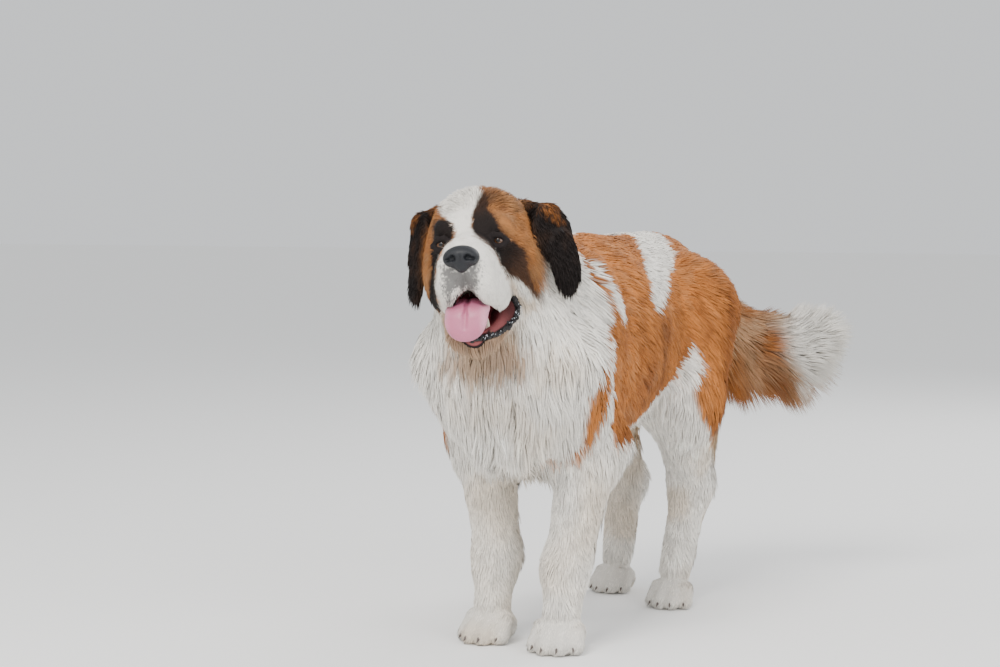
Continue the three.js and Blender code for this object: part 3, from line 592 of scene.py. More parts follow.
def body_colour(p):
    x, y, z = p.T
    ragged = 5 * noise(p, 34)[:, 0] + 4 * noise(p + 50, 11)[:, 1]
    side = p[:, 1:3]
    left = x > 0
    white = WHITE * (1 + 0.05 * noise(p, 40)[:, :1])
    red = np.zeros(len(p))
    for chosen, orange, whites in ((left, ORANGE_LEFT, WHITE_LEFT), (~left, ORANGE_RIGHT, WHITE_RIGHT)):
        here = side[chosen]
        rough = ragged[chosen]
        reach = share(in_polygon(here, orange) + rough, 6)
        for outline in whites:
            reach = reach * (1 - share(in_polygon(here, outline) + 0.6 * rough, 5))
        red[chosen] = reach
    # White along the spine, on the far side, from the withers to the loin
    spine = share(np.abs(x + 22) - 26 + ragged, 8)
    spine = spine * smoothstep(-210, -150, y) * smoothstep(215, 170, y)
    red = red * (1 - spine * (z > 690))
    # Painted shade: the coat in the crease between the flank and the left thigh is a darker red, where the
    # thigh's bulge shades it
    crease_shade = share(in_polygon(side, CREASE_SHADE) + 2 * ragged, 24) * left
    colour = mix(white, mix(red_coat(p), DEEP_RED * 0.6, 0.6 * crease_shade), red)
    # The rump's rear edge is cream, and tan stains the throat and the insides of the forelegs
    colour = mix(colour, CREAM, 0.8 * share(in_polygon(side, CREAM_REAR) + 2 * ragged, 20))
    colour = mix(colour, TAN, 0.8 * beard(p) * (y < -240))
    colour = mix(colour, CREAM, 0.3 * smoothstep(-0.2, 0.7, noise(p, 60)[:, 2]) * smoothstep(-300, -330, y))
    stained = smoothstep(-0.3, 0.6, noise(p, 70)[:, 1]) * smoothstep(400, 300, z)
    return mix(colour, CREAM, 0.4 * stained)


def tail_colour(p):
    x, _, z = p.T
    along = x + 12 * noise(p, 40)[:, 0] + 0.45 * (z - 515)
    base = mix(red_coat(p), CREAM, np.clip(0.22 + 0.4 * noise(p, 30)[:, 1], 0, 1))
    return mix(base, WHITE, smoothstep(150, 200, along))


# Markings of the face as the camera sees them: across to the head's left, and up
SEEN_ACROSS = np.array((0.987, 0.161, 0.0))
SEEN_UP = np.array((0.015, -0.091, 0.996))
BLAZE = (
    (-30, 150), (10, 150), (4, 84), (-2, 74), (-8, 62), (-13, 47), (-15, 29), (-13, 16), (-18, 8),
    (-41, 10), (-40, 26), (-42, 37), (-50, 44), (-62, 55), (-60, 70), (-52, 90),
)
# The edges that the mask shares with the white muzzle
LEFT_EDGE = (
    (-10, 15), (0, 8), (9, -1), (18, -9), (24, -19), (27, -29), (33, -41), (38, -50), (46, -52), (57, -57),
)
RIGHT_EDGE = ((-70, -99), (-76, -80), (-77, -61), (-74, -41), (-69, -21), (-64, -8), (-56, 4), (-45, 11))
MASK_LEFT = (
    (-15, 30), (-13, 47), (-8, 64), (-2, 78), (8, 76), (14, 58), (24, 42), (28, 25), (38, 15), (50, 4),
    (60, -10), (68, -23), (70, -39), (74, -57), (92, -74), (108, -84), (100, -94), (80, -78), (69, -65),
    *LEFT_EDGE[::-1],
)
MASK_RIGHT = (
    (-71, 46), (-59, 48), (-48, 42), (-41, 33), (-41, 19), *RIGHT_EDGE[::-1], (-84, -102), (-95, -85),
    (-86, -50), (-82, -21), (-79, 9), (-77, 29),
)
MUZZLE = (
    (-41, 16), (-18, 14), *LEFT_EDGE, (76, -75), (100, -94), (140, -140), (-140, -140), (-92, -104),
    *RIGHT_EDGE,
)
STIPPLE = (
    (-63, -28), (-46, -30), (-28, -32), (-12, -22), (-6, -36), (-10, -60), (-20, -80), (-33, -66),
    (-46, -67), (-56, -88), (-64, -70),
)
# Painted shade of the skin fold behind the corner of the mouth, as an outline in the camera's view of the
# face
FOLD_SHADE = (
    (36, -52), (46, -60), (52, -74), (66, -84), (86, -88), (96, -100), (80, -112), (62, -106), (52, -92),
    (44, -76),
)
EAR_TUFT = ((86, 84), (120, 84), (138, 36), (128, 28), (110, 36), (97, 56))
# The gum on the left, as an outline in the head's side view, and how far out it starts
GUM_START = 18
GUM = (
    (-52, -88), (-52, -102), (-56, -115), (-62, -128), (-84, -138), (-101, -146), (-118, -152),
    (-131, -155), (-129, -138), (-112, -118), (-92, -99), (-75, -88),
)
# The dark edge of the lower lip, from the corner of the mouth on the left round to its middle
LIP = (
    (54, -55, -90), (60, -55, -102), (61, -58, -115), (56, -64, -128), (49, -84, -138), (42, -101, -146),
    (34, -118, -152), (24, -130, -155), (12, -134, -158), (0, -135, -159), (-14, -133, -157),
)


def seen(q):
    return np.stack([q @ SEEN_ACROSS, q @ SEEN_UP], 1)


def beard(p):
    """How far the tan of the chin and the throat under it reaches, from 0 to 1."""
    flat = seen(head_frame(p))
    ragged = 7 * noise(p, 15)[:, 0] + 4 * noise(p, 5)[:, 1]
    return share(np.linalg.norm((flat - (0, -158)) / (68, 36), axis=1) * 36 - 34 + ragged, 15)


def head_colour(p):
    """Colours of the face, told in the head's own frame."""
    q = head_frame(p)
    x, y, z = q.T
    flat = seen(q)
    ragged = 2.6 * noise(p, 12)[:, 0] + 1.6 * noise(p + 30, 4)[:, 1]
    colour = mix(red_coat(p), TAN, 0.3 + 0.4 * smoothstep(-0.4, 0.6, noise(p, 22)[:, 1]))
    colour = mix(colour, BROWN, 0.45 * smoothstep(20, 70, z) * smoothstep(-0.3, 0.5, noise(p + 8, 16)[:, 0]))
    front = smoothstep(20, -10, y)
    left = in_polygon(flat, MASK_LEFT)
    dusk = share(left - 5 + 2 * ragged, 9) * front
    mask = np.maximum(share(left + ragged, 3), share(in_polygon(flat, MASK_RIGHT) + ragged, 3)) * front
    colour = mix(colour, BROWN, 0.6 * dusk)
    # The mask is black by the eyes and browner to its ends
    black = mix(BROWN, DARK, share(np.linalg.norm(q - (20, -86, 0), axis=1) - 62, 34))
    black = np.where((x < 0)[:, None], DARK, black)
    colour = mix(colour, black, mask)
    blaze = share(in_polygon(flat, BLAZE) + ragged, 3)
    muzzle = share(in_polygon(flat, MUZZLE) + ragged, 3.5) * smoothstep(-5, -30, y)
    chin = share(z + 118 + 0.1 * y + 2 * ragged, 9)
    colour = mix(colour, WHITE, np.maximum.reduce([blaze, muzzle, chin]))
    # Dark stipple under the nose, and painted shade of a skin fold behind the corner of the mouth, in cream
    # and tan
    spots = share(in_polygon(flat, STIPPLE) + 2 * ragged + 11 * noise(p + 11, 2.6)[:, 2], 7)
    spots = spots * smoothstep(-136, -156, y) * smoothstep(-46, -36, x)
    colour = mix(colour, SPECKLE, 0.8 * spots)
    # Painted shade: the skin fold behind the corner of the mouth is cream and tan on the white
    fold_shade = share(in_polygon(flat, FOLD_SHADE) + 1.5 * ragged, 6) * (y > -125)
    colour = mix(colour, mix(CREAM, TAN, [0.4]), 0.6 * fold_shade)
    pale = smoothstep(0.15, 0.7, noise(p + 5, 9)[:, 2])
    return colour * (1 - 0.12 * pale[:, None])


def ear_colour(p):
    q = head_frame(p)
    flat = seen(q)
    flat[:, 0] *= np.where(q[:, 0] > 0, 1, -1)
    ragged = 6 * noise(p, 15)[:, 0] + 4 * noise(p, 5)[:, 1]
    tufted = share(in_polygon(flat, EAR_TUFT) + 3 + ragged, 6)
    tufted = np.maximum(tufted, smoothstep(62, 80, q[:, 2] + ragged))
    tone = mix(DARK, BROWN, 0.35 * smoothstep(0, 1, noise(p, 22)[:, 1]))
    tuft = mix(red_coat(p), BROWN, 0.3 + 0.6 * smoothstep(-0.4, 0.4, noise(p, 6)[:, 2]))
    return mix(tone, tuft, 0.85 * tufted)


def jaw_colour(p):
    chin = np.maximum(beard(p), share(head_frame(p)[:, 1] + 60, 30))
    return mix(WHITE * 0.95, TAN * (1 + 0.35 * noise(p, 6)[:, :1]), 0.85 * chin)


# In the order of the regions
COLOURS = (*[body_colour] * 4, tail_colour, head_colour, jaw_colour, ear_colour)


def coat_colour(p, weights):
    total = np.zeros((len(p), 3))
    sharp = np.where(weights > 0.1, weights, 0) ** 3
    for weight, colour_of in zip(sharp.T, COLOURS):
        chosen = weight > 0
        if chosen.any():
            total[chosen] += weight[chosen, None] * colour_of(p[chosen])
    return total / sharp.sum(1, keepdims=True)


# Where the coat lies and how long it is
def tail_direction(p):
    """The way to the tip along the tail's nearest stretch, and the way from its path to each point."""
    best = np.full(len(p), 1e9)
    direction, off = np.zeros((2, len(p), 3))
    path = np.array([point for point, _ in TAIL_PATH], float)
    for a, b in zip(path, path[1:]):
        away, _ = from_segment(p, a, b)
        d = np.linalg.norm(away, axis=1)
        nearer = d < best
        best = np.where(nearer, d, best)
        direction[nearer] = unit(b - a)
        off[nearer] = away[nearer]
    return direction, off


def lie_of(p, n, weights):
    """The direction in which the coat lies, for each point, before it's turned along the skin."""
    x, y, z = p.T
    nx, ny, nz = n.T
    side = np.sign(x)
    q = head_frame(p)
    away = np.sign(q[:, 0])
    lie = {"paw": np.array((0, -0.9, -0.9)), "jaw": np.array((0, 0.5, -0.9))}
    back = columns(0, 1, -0.25 - 0.55 * smoothstep(700, 560, z))
    chest = smoothstep(-0.1, -0.7, ny) * smoothstep(-120, -220, y)
    torso = mix(back, columns(0.12 * side, 0.12, -1), chest)
    rump = smoothstep(0.2, 0.8, ny) * smoothstep(300, 400, y)
    lie["torso"] = mix(torso, columns(0.1 * side, 0.25, -1), rump)
    neck = columns(0.15 * nx, 0.75 + 0.6 * nz, -1 + 0.6 * np.maximum(nz, 0))
    lie["neck"] = mix(neck, np.array((0, 0.15, -1)), smoothstep(-0.2, -0.7, ny + 0.3 * nz))
    lie["leg"] = columns(0, 0.16 + 0.3 * np.maximum(ny, 0), -1)
    tail, off = tail_direction(p)
    lie["tail"] = tail + 0.85 * unit(off)
    lie["tail"][:, 2] -= 0.12
    cheek = smoothstep(10, -50, q[:, 2])
    face = columns(0.35 * away * smoothstep(0, 40, np.abs(q[:, 0])), 1, -0.25 - 0.75 * cheek)
    flews = smoothstep(-70, -110, q[:, 1]) * smoothstep(-30, -60, q[:, 2])
    lie["head"] = mix(face, columns(0.15 * away, 0.55, -0.8), flews) @ HEAD_SPIN.T
    lie["ear"] = columns(0.06 * side, 0.12, -1)
    return unit(sum(weights[:, i, None] * unit(lie[name]) for i, name in enumerate(NAMES)))


def length_of(p, n, weights):
    """Length of the coat in millimetres, and how far it stands off the skin."""
    x, y, z = p.T
    ny = n[:, 1]
    _, head_y, head_z = head_frame(p).T
    chest = smoothstep(0.0, -0.6, ny) * smoothstep(-130, -230, y)
    rear = smoothstep(0.1, 0.75, ny)
    breech = rear * smoothstep(180, 300, y) * smoothstep(260, 330, z)
    feather = smoothstep(0.25, 0.8, ny) * smoothstep(110, 200, z)
    feather = np.where(y < 30, feather, 0.55 * rear * (z > 90))
    leg = (36 - 18 * smoothstep(330, 230, z)) * (1 - feather) + 58 * feather
    face = 8 + 9 * smoothstep(-100, -30, head_y) + 16 * smoothstep(-5, 60, head_y) * smoothstep(60, 0, head_z)
    crown = smoothstep(40, 75, head_z)
    _, off = tail_direction(p)
    lengths = {
        "torso": 40 + 34 * chest + 34 * breech + 14 * smoothstep(450, 380, z),
        "neck": 54 + 8 * smoothstep(0.3, -0.5, ny),
        "leg": np.maximum(leg, 76 * breech * smoothstep(300, 340, z)),
        "paw": 10,
        "tail": 54 + 44 * smoothstep(0.1, -0.7, unit(off)[:, 2]) * smoothstep(250, 190, x),
        "head": face + 9 * crown * smoothstep(-90, -50, head_y),
        "jaw": 12 + 14 * smoothstep(-120, -150, head_z),
        "ear": 13 + 15 * smoothstep(-20, -80, head_z),
    }
    lifts = {
        "torso": 0.20 + 0.12 * chest, "neck": 0.22, "leg": 0.24 + 0.3 * feather, "paw": 0.2,
        "tail": 0.34, "head": 0.28 + 0.3 * crown, "jaw": 0.4, "ear": 0.2,
    }
    return by_weight(weights, lengths), by_weight(weights, lifts)


def around(x, y):
    """The angle about an axis, as a share of a turn."""
    return np.arctan2(x, y) / (2 * math.pi) + 0.5


def unwrap(p, weights):
    """A place on a flat sheet for each root: every region is rolled off its own axis into its own tile."""
    region = weights.argmax(1)
    places = np.zeros((len(p), 2))
    for i, name in enumerate(NAMES):
        q = p[region == i]
        x, y, z = q.T
        head_x, head_y, head_z = head_frame(q).T
        if name in ("torso", "neck"):
            a, b = around(x, z - 570), (y + 480) / 1000
        elif name in ("leg", "paw"):
            feet = np.array([place for place, _, _ in FEET.values()])
            k = np.argmin([np.hypot(x - foot_x, y - foot_y) for foot_x, foot_y in feet], 0)
            turn = around(x - feet[k, 0], y - feet[k, 1])
            top = 110 if name == "paw" else 620
            a = (k % 2 + 0.03 + 0.94 * turn) / 2
            b = (k // 2 + 0.03 + 0.94 * np.clip(z / top, 0, 1)) / 2
        elif name == "tail":
            _, off = tail_direction(q)
            a, b = around(off[:, 2], off @ np.array([0.6, -0.8, 0])), (x + 40) / 360
        elif name == "ear":
            a, b = 0.25 + 0.5 * (head_x > 0) + (head_y - 6) / 120, (head_z + 110) / 200
        else:
            a, b = around(head_x, head_z + 30), (head_y + 240) / 380
        places[region == i, 0] = (i % 4 + 0.03 + 0.94 * np.clip(a, 0, 1)) / 4
        places[region == i, 1] = (i // 4 + 0.03 + 0.94 * np.clip(b, 0, 1)) / 2
    return places


# Tufts: where they stand and how they are built
SPACING = dict(torso=3.5, neck=3.5, leg=3.75, paw=3.1, tail=2.8, head=2.5, jaw=2.6, ear=2.6)
WIDTH = dict(torso=4.0, neck=4.2, leg=3.4, paw=2.4, tail=3.2, head=2.0, jaw=2.4, ear=2.6)
PATCH = 0.003
FRINGE_SOFTNESS = 0.12
BODY_SOFTNESS = 0.45
LONG = 11  # tufts from this length on have a bend
CHEST_END = -215  # the coat of the torso is parted here and at the waist
WAIST = 60
EYE_CLEARANCE = 18.5  # no hair grows nearer to the middle of an eye


def vertex_normals(vertices, faces):
    a, b, c, d = (vertices[faces[:, i]] for i in range(4))
    face_normal = np.cross(c - a, d - b)
    total = np.zeros_like(vertices)
    for i in range(4):
        np.add.at(total, faces[:, i], face_normal)
    return unit(total)


def roots_on(vertices, faces):
    """Random places on a mesh, as close as the spacing of each region says."""
    a, b, c, d = (vertices[faces[:, i]] for i in range(4))
    area = 0.5 * np.linalg.norm(np.cross(c - a, d - b), axis=1)
    spacing = by_weight(regions_of((a + b + c + d) / 4), SPACING)
    wanted = area * (1 / spacing**2)
    count = np.floor(wanted + rng.uniform(size=len(wanted))).astype(int)
    face = np.repeat(np.arange(len(faces)), count)
    s, t = rng.uniform(size=(2, len(face), 1))
    place = (1 - s) * ((1 - t) * a[face] + t * b[face]) + s * ((1 - t) * d[face] + t * c[face])
    return place, face


def tuft_lines(root, normal, direction, length, lift, bends, wave):
    """The middle line of each tuft: it leaves the skin at an angle, then bends down to lie along it."""
    steps = bends + 1
    points = [root - 0.8 * normal]
    sideways = unit(np.cross(normal, direction))
    for i in range(steps):
        t = (i + 0.5) / steps
        rise = lift * (1.5 - 1.6 * t)
        sway = wave * math.sin(2.2 * math.pi * t)
        heading = direction + rise[:, None] * normal + sway[:, None] * sideways + np.array([0, 0, -0.12 * t])
        points.append(points[-1] + unit(heading) * (length / steps)[:, None])
    return points


def clumped(lines, length, strength):
    """Tips are drawn to a leader nearby, which parts the coat into locks."""
    root = lines[0]
    leaders = rng.choice(len(root), max(1, len(root) // 14), replace=False)
    tree = kdtree.KDTree(len(leaders))
    for i, leader in enumerate(leaders):
        tree.insert(root[leader], i)
    tree.balance()
    nearest = np.array([leaders[tree.find(p)[1]] for p in root])
    pull = strength * smoothstep(14, 45, length)
    scale = (length / length[nearest])[:, None]
    moved = [root]
    for i in range(1, len(lines)):
        t = i / (len(lines) - 1)
        toward = root[nearest] + (lines[i][nearest] - root[nearest]) * scale
        moved.append(lines[i] + (toward - lines[i]) * (pull * t**1.3)[:, None])
    return moved, nearest


def tuft_mesh(lines, normal, width, colour, uv, root_shade, softness):
    """Closed tufts with three sides and a point, with the colour of each corner.

    Softness is how far the shading of a tuft follows the body under it. The colour of each ring is darkened
    towards the root by painted shade, and each corner differs at random in tone."""
    count = len(lines[0])
    rings = len(lines) - 1
    taper = ((1.0,), (0.9, 0.85))[rings - 1]
    jitter = rng.uniform(-0.55, 0.55, count)
    vertices = np.zeros((count, 3 * rings + 1, 3))
    shade = np.zeros((count, 3 * rings + 1))
    facing = np.zeros_like(vertices)
    strand = rng.uniform(0.88, 1.1, (count, 3))
    for i in range(rings):
        along = unit(lines[i + 1] - lines[i])
        across = unit(np.cross(normal, along))
        up = np.cross(along, across)
        half = 0.5 * width * taper[i]
        for k, (a, b) in enumerate(((1.0, -0.25), (0.0, 0.5), (-1.0, -0.25))):
            x = a * np.cos(jitter) - b * np.sin(jitter) * 0.9
            y = b * np.cos(jitter) + a * np.sin(jitter) * 0.9
            off = x[:, None] * across + y[:, None] * up
            vertices[:, 3 * i + k] = lines[i] + half[:, None] * off
            rounded = unit(0.75 * a * across + (1.0 if b > 0 else -0.75) * up)
            facing[:, 3 * i + k] = (1 - softness) * rounded + softness * normal
            # Random tone of each strand, darkened towards the root by painted shade
            shade[:, 3 * i + k] = strand[:, k] * root_shade[i]
    vertices[:, -1] = lines[-1]
    shade[:, -1] = strand.mean(1) * root_shade[-1]
    # The tips of a fringe are shaded by the way they point, and the others by the hair under them
    pointing = (1 - softness) * along + softness * normal
    facing[:, -1] = np.where(softness == FRINGE_SOFTNESS, pointing, facing[:, 3 * rings - 2])
    pattern = [(0, 2, 1)]
    for i in range(rings - 1):
        for k in range(3):
            a, b = 3 * i + k, 3 * i + (k + 1) % 3
            pattern += [(a, b, b + 3), (a, b + 3, a + 3)]
    top = 3 * (rings - 1)
    pattern += [(top + k, top + (k + 1) % 3, 3 * rings) for k in range(3)]
    starts = (np.arange(count) * (3 * rings + 1))[:, None, None]
    corners = (np.array(pattern)[None] + starts).reshape(-1, 3)
    colours = np.clip(colour[:, None, :] * shade[:, :, None], 0, 1).reshape(-1, 3)
    spread = PATCH * np.array([(-0.5, 0), (0, 0), (0.5, 0)] * rings + [(0, 0.5)])
    for i in range(rings):
        spread[3 * i:3 * i + 3, 1] = PATCH * (-0.5 + i / rings)
    places = (uv[:, None, :] + spread[None]).reshape(-1, 2)
    return vertices.reshape(-1, 3), corners, colours, places, unit(facing).reshape(-1, 3)


def linked(name, data):
    obj = bpy.data.objects.new(name, data)
    bpy.context.scene.collection.objects.link(obj)
    return obj


def mesh_object(name, part, colours, material, replaced=(), uv=None, normals=None):
    """A mesh object from points in the dog's millimetres, with one colour or a colour on each point."""
    vertices, faces = part
    size = faces.shape[1]
    mesh = bpy.data.meshes.new(name)
    mesh.vertices.add(len(vertices))
    mesh.vertices.foreach_set("co", metres(vertices).astype(np.float32).ravel())
    mesh.loops.add(faces.size)
    mesh.loops.foreach_set("vertex_index", faces.astype(np.int32).ravel())
    mesh.polygons.add(len(faces))
    mesh.polygons.foreach_set("loop_start", np.arange(0, faces.size, size, dtype=np.int32))
    mesh.update(calc_edges=True)
    mesh.polygons.foreach_set("use_smooth", np.full(len(faces), True))
    painted = np.ones((len(vertices), 4), np.float32)
    painted[:, :3] = colours
    mesh.color_attributes.new("coat", "FLOAT_COLOR", "POINT").data.foreach_set("color", painted.ravel())
    if uv is not None:
        mesh.uv_layers.new(name="OFBake").data.foreach_set("uv", uv[faces.ravel()].astype(np.float32).ravel())
    if normals is not None:
        mesh.normals_split_custom_set_from_vertices(normals.astype(np.float32))
    mesh.materials.append(material)
    obj = linked(name, mesh)
    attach(obj, BODY)
    for node in replaced:
        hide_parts(node)


# Materials
def new_material(name, roughness):
    material = bpy.data.materials.new(name)
    material.use_nodes = True
    shader = material.node_tree.nodes["Principled BSDF"]
    shader.inputs["Roughness"].default_value = roughness
    return material, shader


def noise_texture(tree, scale):
    """Noise in the object's own space."""
    coordinates = tree.nodes.new("ShaderNodeTexCoord")
    texture = tree.nodes.new("ShaderNodeTexNoise")
    texture.inputs["Scale"].default_value = scale
    tree.links.new(coordinates.outputs["Object"], texture.inputs["Vector"])
    return texture


def painted_material(name, roughness, specular, tint, bump=None, gloss=0, subsurface=0):
    """The colours of the points, made uneven by noise, over fine bumps.

    The tint is its noise's scale, darkest and lightest share. The bump is its scale, strength and depth."""
    material, shader = new_material(name, roughness)
    tree = material.node_tree
    shader.inputs["Specular IOR Level"].default_value = specular
    if gloss:
        shader.inputs["Coat Weight"].default_value = gloss
        shader.inputs["Coat Roughness"].default_value = 0.2
    if subsurface:
        shader.inputs["Subsurface Weight"].default_value = subsurface
        shader.inputs["Subsurface Radius"].default_value = (0.006, 0.002, 0.0015)
    scale, darkest, lightest = tint
    attribute = tree.nodes.new("ShaderNodeAttribute")
    attribute.attribute_name = "coat"
    spread = tree.nodes.new("ShaderNodeMapRange")
    spread.inputs["To Min"].default_value = darkest
    spread.inputs["To Max"].default_value = lightest
    tinted = tree.nodes.new("ShaderNodeVectorMath")
    tinted.operation = "SCALE"
    tree.links.new(noise_texture(tree, scale).outputs["Fac"], spread.inputs["Value"])
    tree.links.new(attribute.outputs["Color"], tinted.inputs[0])
    tree.links.new(spread.outputs["Result"], tinted.inputs["Scale"])
    tree.links.new(tinted.outputs["Vector"], shader.inputs["Base Color"])
    if bump:
        scale, strength, depth = bump
        bumps = tree.nodes.new("ShaderNodeBump")
        bumps.inputs["Strength"].default_value = strength
        bumps.inputs["Distance"].default_value = depth
        tree.links.new(noise_texture(tree, scale).outputs["Fac"], bumps.inputs["Height"])
        tree.links.new(bumps.outputs["Normal"], shader.inputs["Normal"])
    return material


MOIST_TINT = (500, 0.86, 1.1)
HAIR = painted_material("coat hair", 0.6, 0.12, (260, 0.82, 1.12))
SKIN = painted_material("skin with short hair", 0.8, 0.1, (420, 0.78, 1.1), (650, 0.7, 0.0012))
LEATHER = painted_material("nose leather", 0.5, 0.35, MOIST_TINT, (1300, 0.8, 0.0006), gloss=0.05)
FLESH = painted_material("tongue", 0.4, 0.35, MOIST_TINT, (1500, 0.6, 0.0005), gloss=0.2, subsurface=0.15)
EYEBALL = painted_material("eye", 0.06, 0.35, MOIST_TINT, gloss=0.5)
CLAW = painted_material("claw horn", 0.35, 0.5, (300, 0.85, 1.1), (900, 0.25, 0.0003))

BODY = next(iter(frame["bodies"]))
FLESH_NODES = [name for name in frame["nodes"] if name not in ("nose", "tongue", "eye_left", "eye_right")]


def lip_distance(q):
    """How far points are from the edge of the lower lip, in the head's own frame."""
    stops = np.array(LIP, float)
    ways = [from_segment(q, a, b)[0] for a, b in zip(stops, stops[1:])]
    return np.min([np.linalg.norm(way, axis=1) for way in ways], 0)


def mouth_field(p):
    """The field of the hollow of the mouth."""
    return np.minimum(field_at(HEAD_CUTS[:1], p, 1), field_at(JAW_CUTS, p, 1))


# The skin
def mouth_colours(p, n, colour):
    """Dark lips along the mouth's edges, pink inside it."""
    q = head_frame(p)
    inner = mouth_field(p)
    colour = mix(colour, LIP_DARK, smoothstep(9, 4, inner) * (q[:, 1] < 0))
    colour = mix(colour, PINK, smoothstep(2.0, -0.5, inner) * (q[:, 1] < 0))
    gum = share(in_polygon(q[:, 1:], GUM), 2) * (q[:, 0] > GUM_START)
    # Painted shade: the gum gets darker towards the back of the mouth
    colour = mix(colour, PINK * (0.25 + 0.5 * smoothstep(-70, -110, q[:, 1]))[:, None], gum)
    colour = mix(colour, LIP_DARK, smoothstep(7.5, 5.0, lip_distance(q)))
    # Lid rims
    facing = n @ HEAD_SPIN
    return mix(colour, LIP_DARK, smoothstep(1.2, 0.2, field_at(LIDS, p, 4)) * (np.abs(facing[:, 1]) > 0.1))


def fused(parts):
    """Several (vertices, faces) as one."""
    starts = np.cumsum([0] + [len(vertices) for vertices, _ in parts])
    faces = [faces + start for (_, faces), start in zip(parts, starts)]
    return np.concatenate([vertices for vertices, _ in parts]), np.concatenate(faces)


def make_skin(parts):
    vertices, faces = fused(parts)
    normals = vertex_normals(vertices, faces)
    weights = regions_of(vertices)
    bare = np.clip(weight_of(weights, "head", "jaw", "ear"), 0, 1)
    # Painted shade: away from the head the skin lies under the long coat and is darker
    colour = coat_colour(vertices, weights) * (0.84 + 0.16 * bare)[:, None]
    near = np.linalg.norm(vertices - HEAD_AT, axis=1) < 300
    colour[near] = mouth_colours(vertices[near], normals[near], colour[near])
    mesh_object("skin", (vertices, faces), colour, SKIN, FLESH_NODES)


# The coat
def eye_middle(side):
    return head_point((side * EYE_AT[0] + EYE_SHIFT[0], EYE_AT[1] + EYE_SHIFT[1], EYE_AT[2]))


def bare_places(p):
    """Where no hair grows: the eyes, the mouth, the nose, the soles and what other parts cover."""
    q = head_frame(p)
    bare = (p[:, 2] < 4) | (mouth_field(p) < 4) | (lip_distance(q) < 5)
    bare |= (in_polygon(q[:, 1:], GUM) < 1) & (q[:, 0] > GUM_START) & (q[:, 0] < 75)
    for side in (1, -1):
        bare |= np.linalg.norm(p - eye_middle(side), axis=1) < EYE_CLEARANCE
    return bare | (field_at(NOSE, p, NOSE_BLEND) < 2.5) | (field_at(TONGUE, p, TONGUE_BLEND) < 2)


def grow_coat(part, on_head):
    """Roots on the head's surface alone, or on the body's away from the head."""
    vertices, faces = part
    root, face = roots_on(vertices, faces)
    normal = unit(vertex_normals(vertices, faces)[faces[face]].mean(1))
    keep = ~bare_places(root)
    root, normal = root[keep], normal[keep]
    weights = regions_of(root)
    keep = (weight_of(weights, "head", "jaw", "ear") >= 0.4) == on_head
    return root[keep], normal[keep], weights[keep]


body_part, head_part = body_surface(), head_surface()
make_skin([body_part, head_part])
grown = (grow_coat(body_part, False), grow_coat(head_part, True))
root, normal, weights = (np.concatenate(pair) for pair in zip(*grown))
colour = coat_colour(root + 3 * normal, weights)
length, lift = length_of(root, normal, weights)
wild = noise(root, 55)
fine = noise(root + 200, 16)
lie = unit(lie_of(root, normal, weights) + 0.30 * wild + 0.22 * fine)
# Hair lies along the skin, but at the end of the tail and the ears' lower edge it goes on past the skin
standing = (lie * normal).sum(1, keepdims=True)
past = weight_of(weights, "tail", "ear")[:, None]
flat = unit(lie - standing * (1 - (0.2 + 0.7 * past) * (standing > 0)) * normal)
length = length * rng.uniform(0.72, 1.12, len(length)) * (1 + 0.12 * wild[:, 0])
lift = lift * rng.uniform(0.5, 1.5, len(lift))
wave = 0.34 * wild[:, 1] * smoothstep(20, 50, length) + 0.12 * fine[:, 1]
width = by_weight(weights, WIDTH) * rng.uniform(0.8, 1.2, len(length))
places = unwrap(root, weights)
region = np.array(NAMES)[weights.argmax(1)]
torso, leg = region == "torso", np.isin(region, ("leg", "paw"))
left, front = root[:, 0] >= 0, root[:, 1] < 20
behind_chest, behind_waist = root[:, 1] >= CHEST_END, root[:, 1] >= WAIST
shoulder, rump = torso & behind_chest & ~behind_waist, torso & behind_waist
PIECES = {
    "coat_chest": ("coat_white", torso & ~behind_chest),
    "coat_shoulder_left": ("coat_red", shoulder & left),
    "coat_shoulder_right": ("coat_red", shoulder & ~left),
    "coat_rump_left": ("coat_red", rump & left),
    "coat_rump_right": ("coat_red", rump & ~left),
    "coat_neck": ("coat_white", region == "neck"),
    "coat_legs_front": ("coat_white", leg & front),
    "coat_legs_hind": ("coat_red", leg & ~front),
    "coat_tail": ("coat_white", region == "tail"),
    "coat_head": ("coat_red", np.isin(region, ("head", "jaw"))),
    "coat_ears": ("coat_dark", region == "ear"),
}
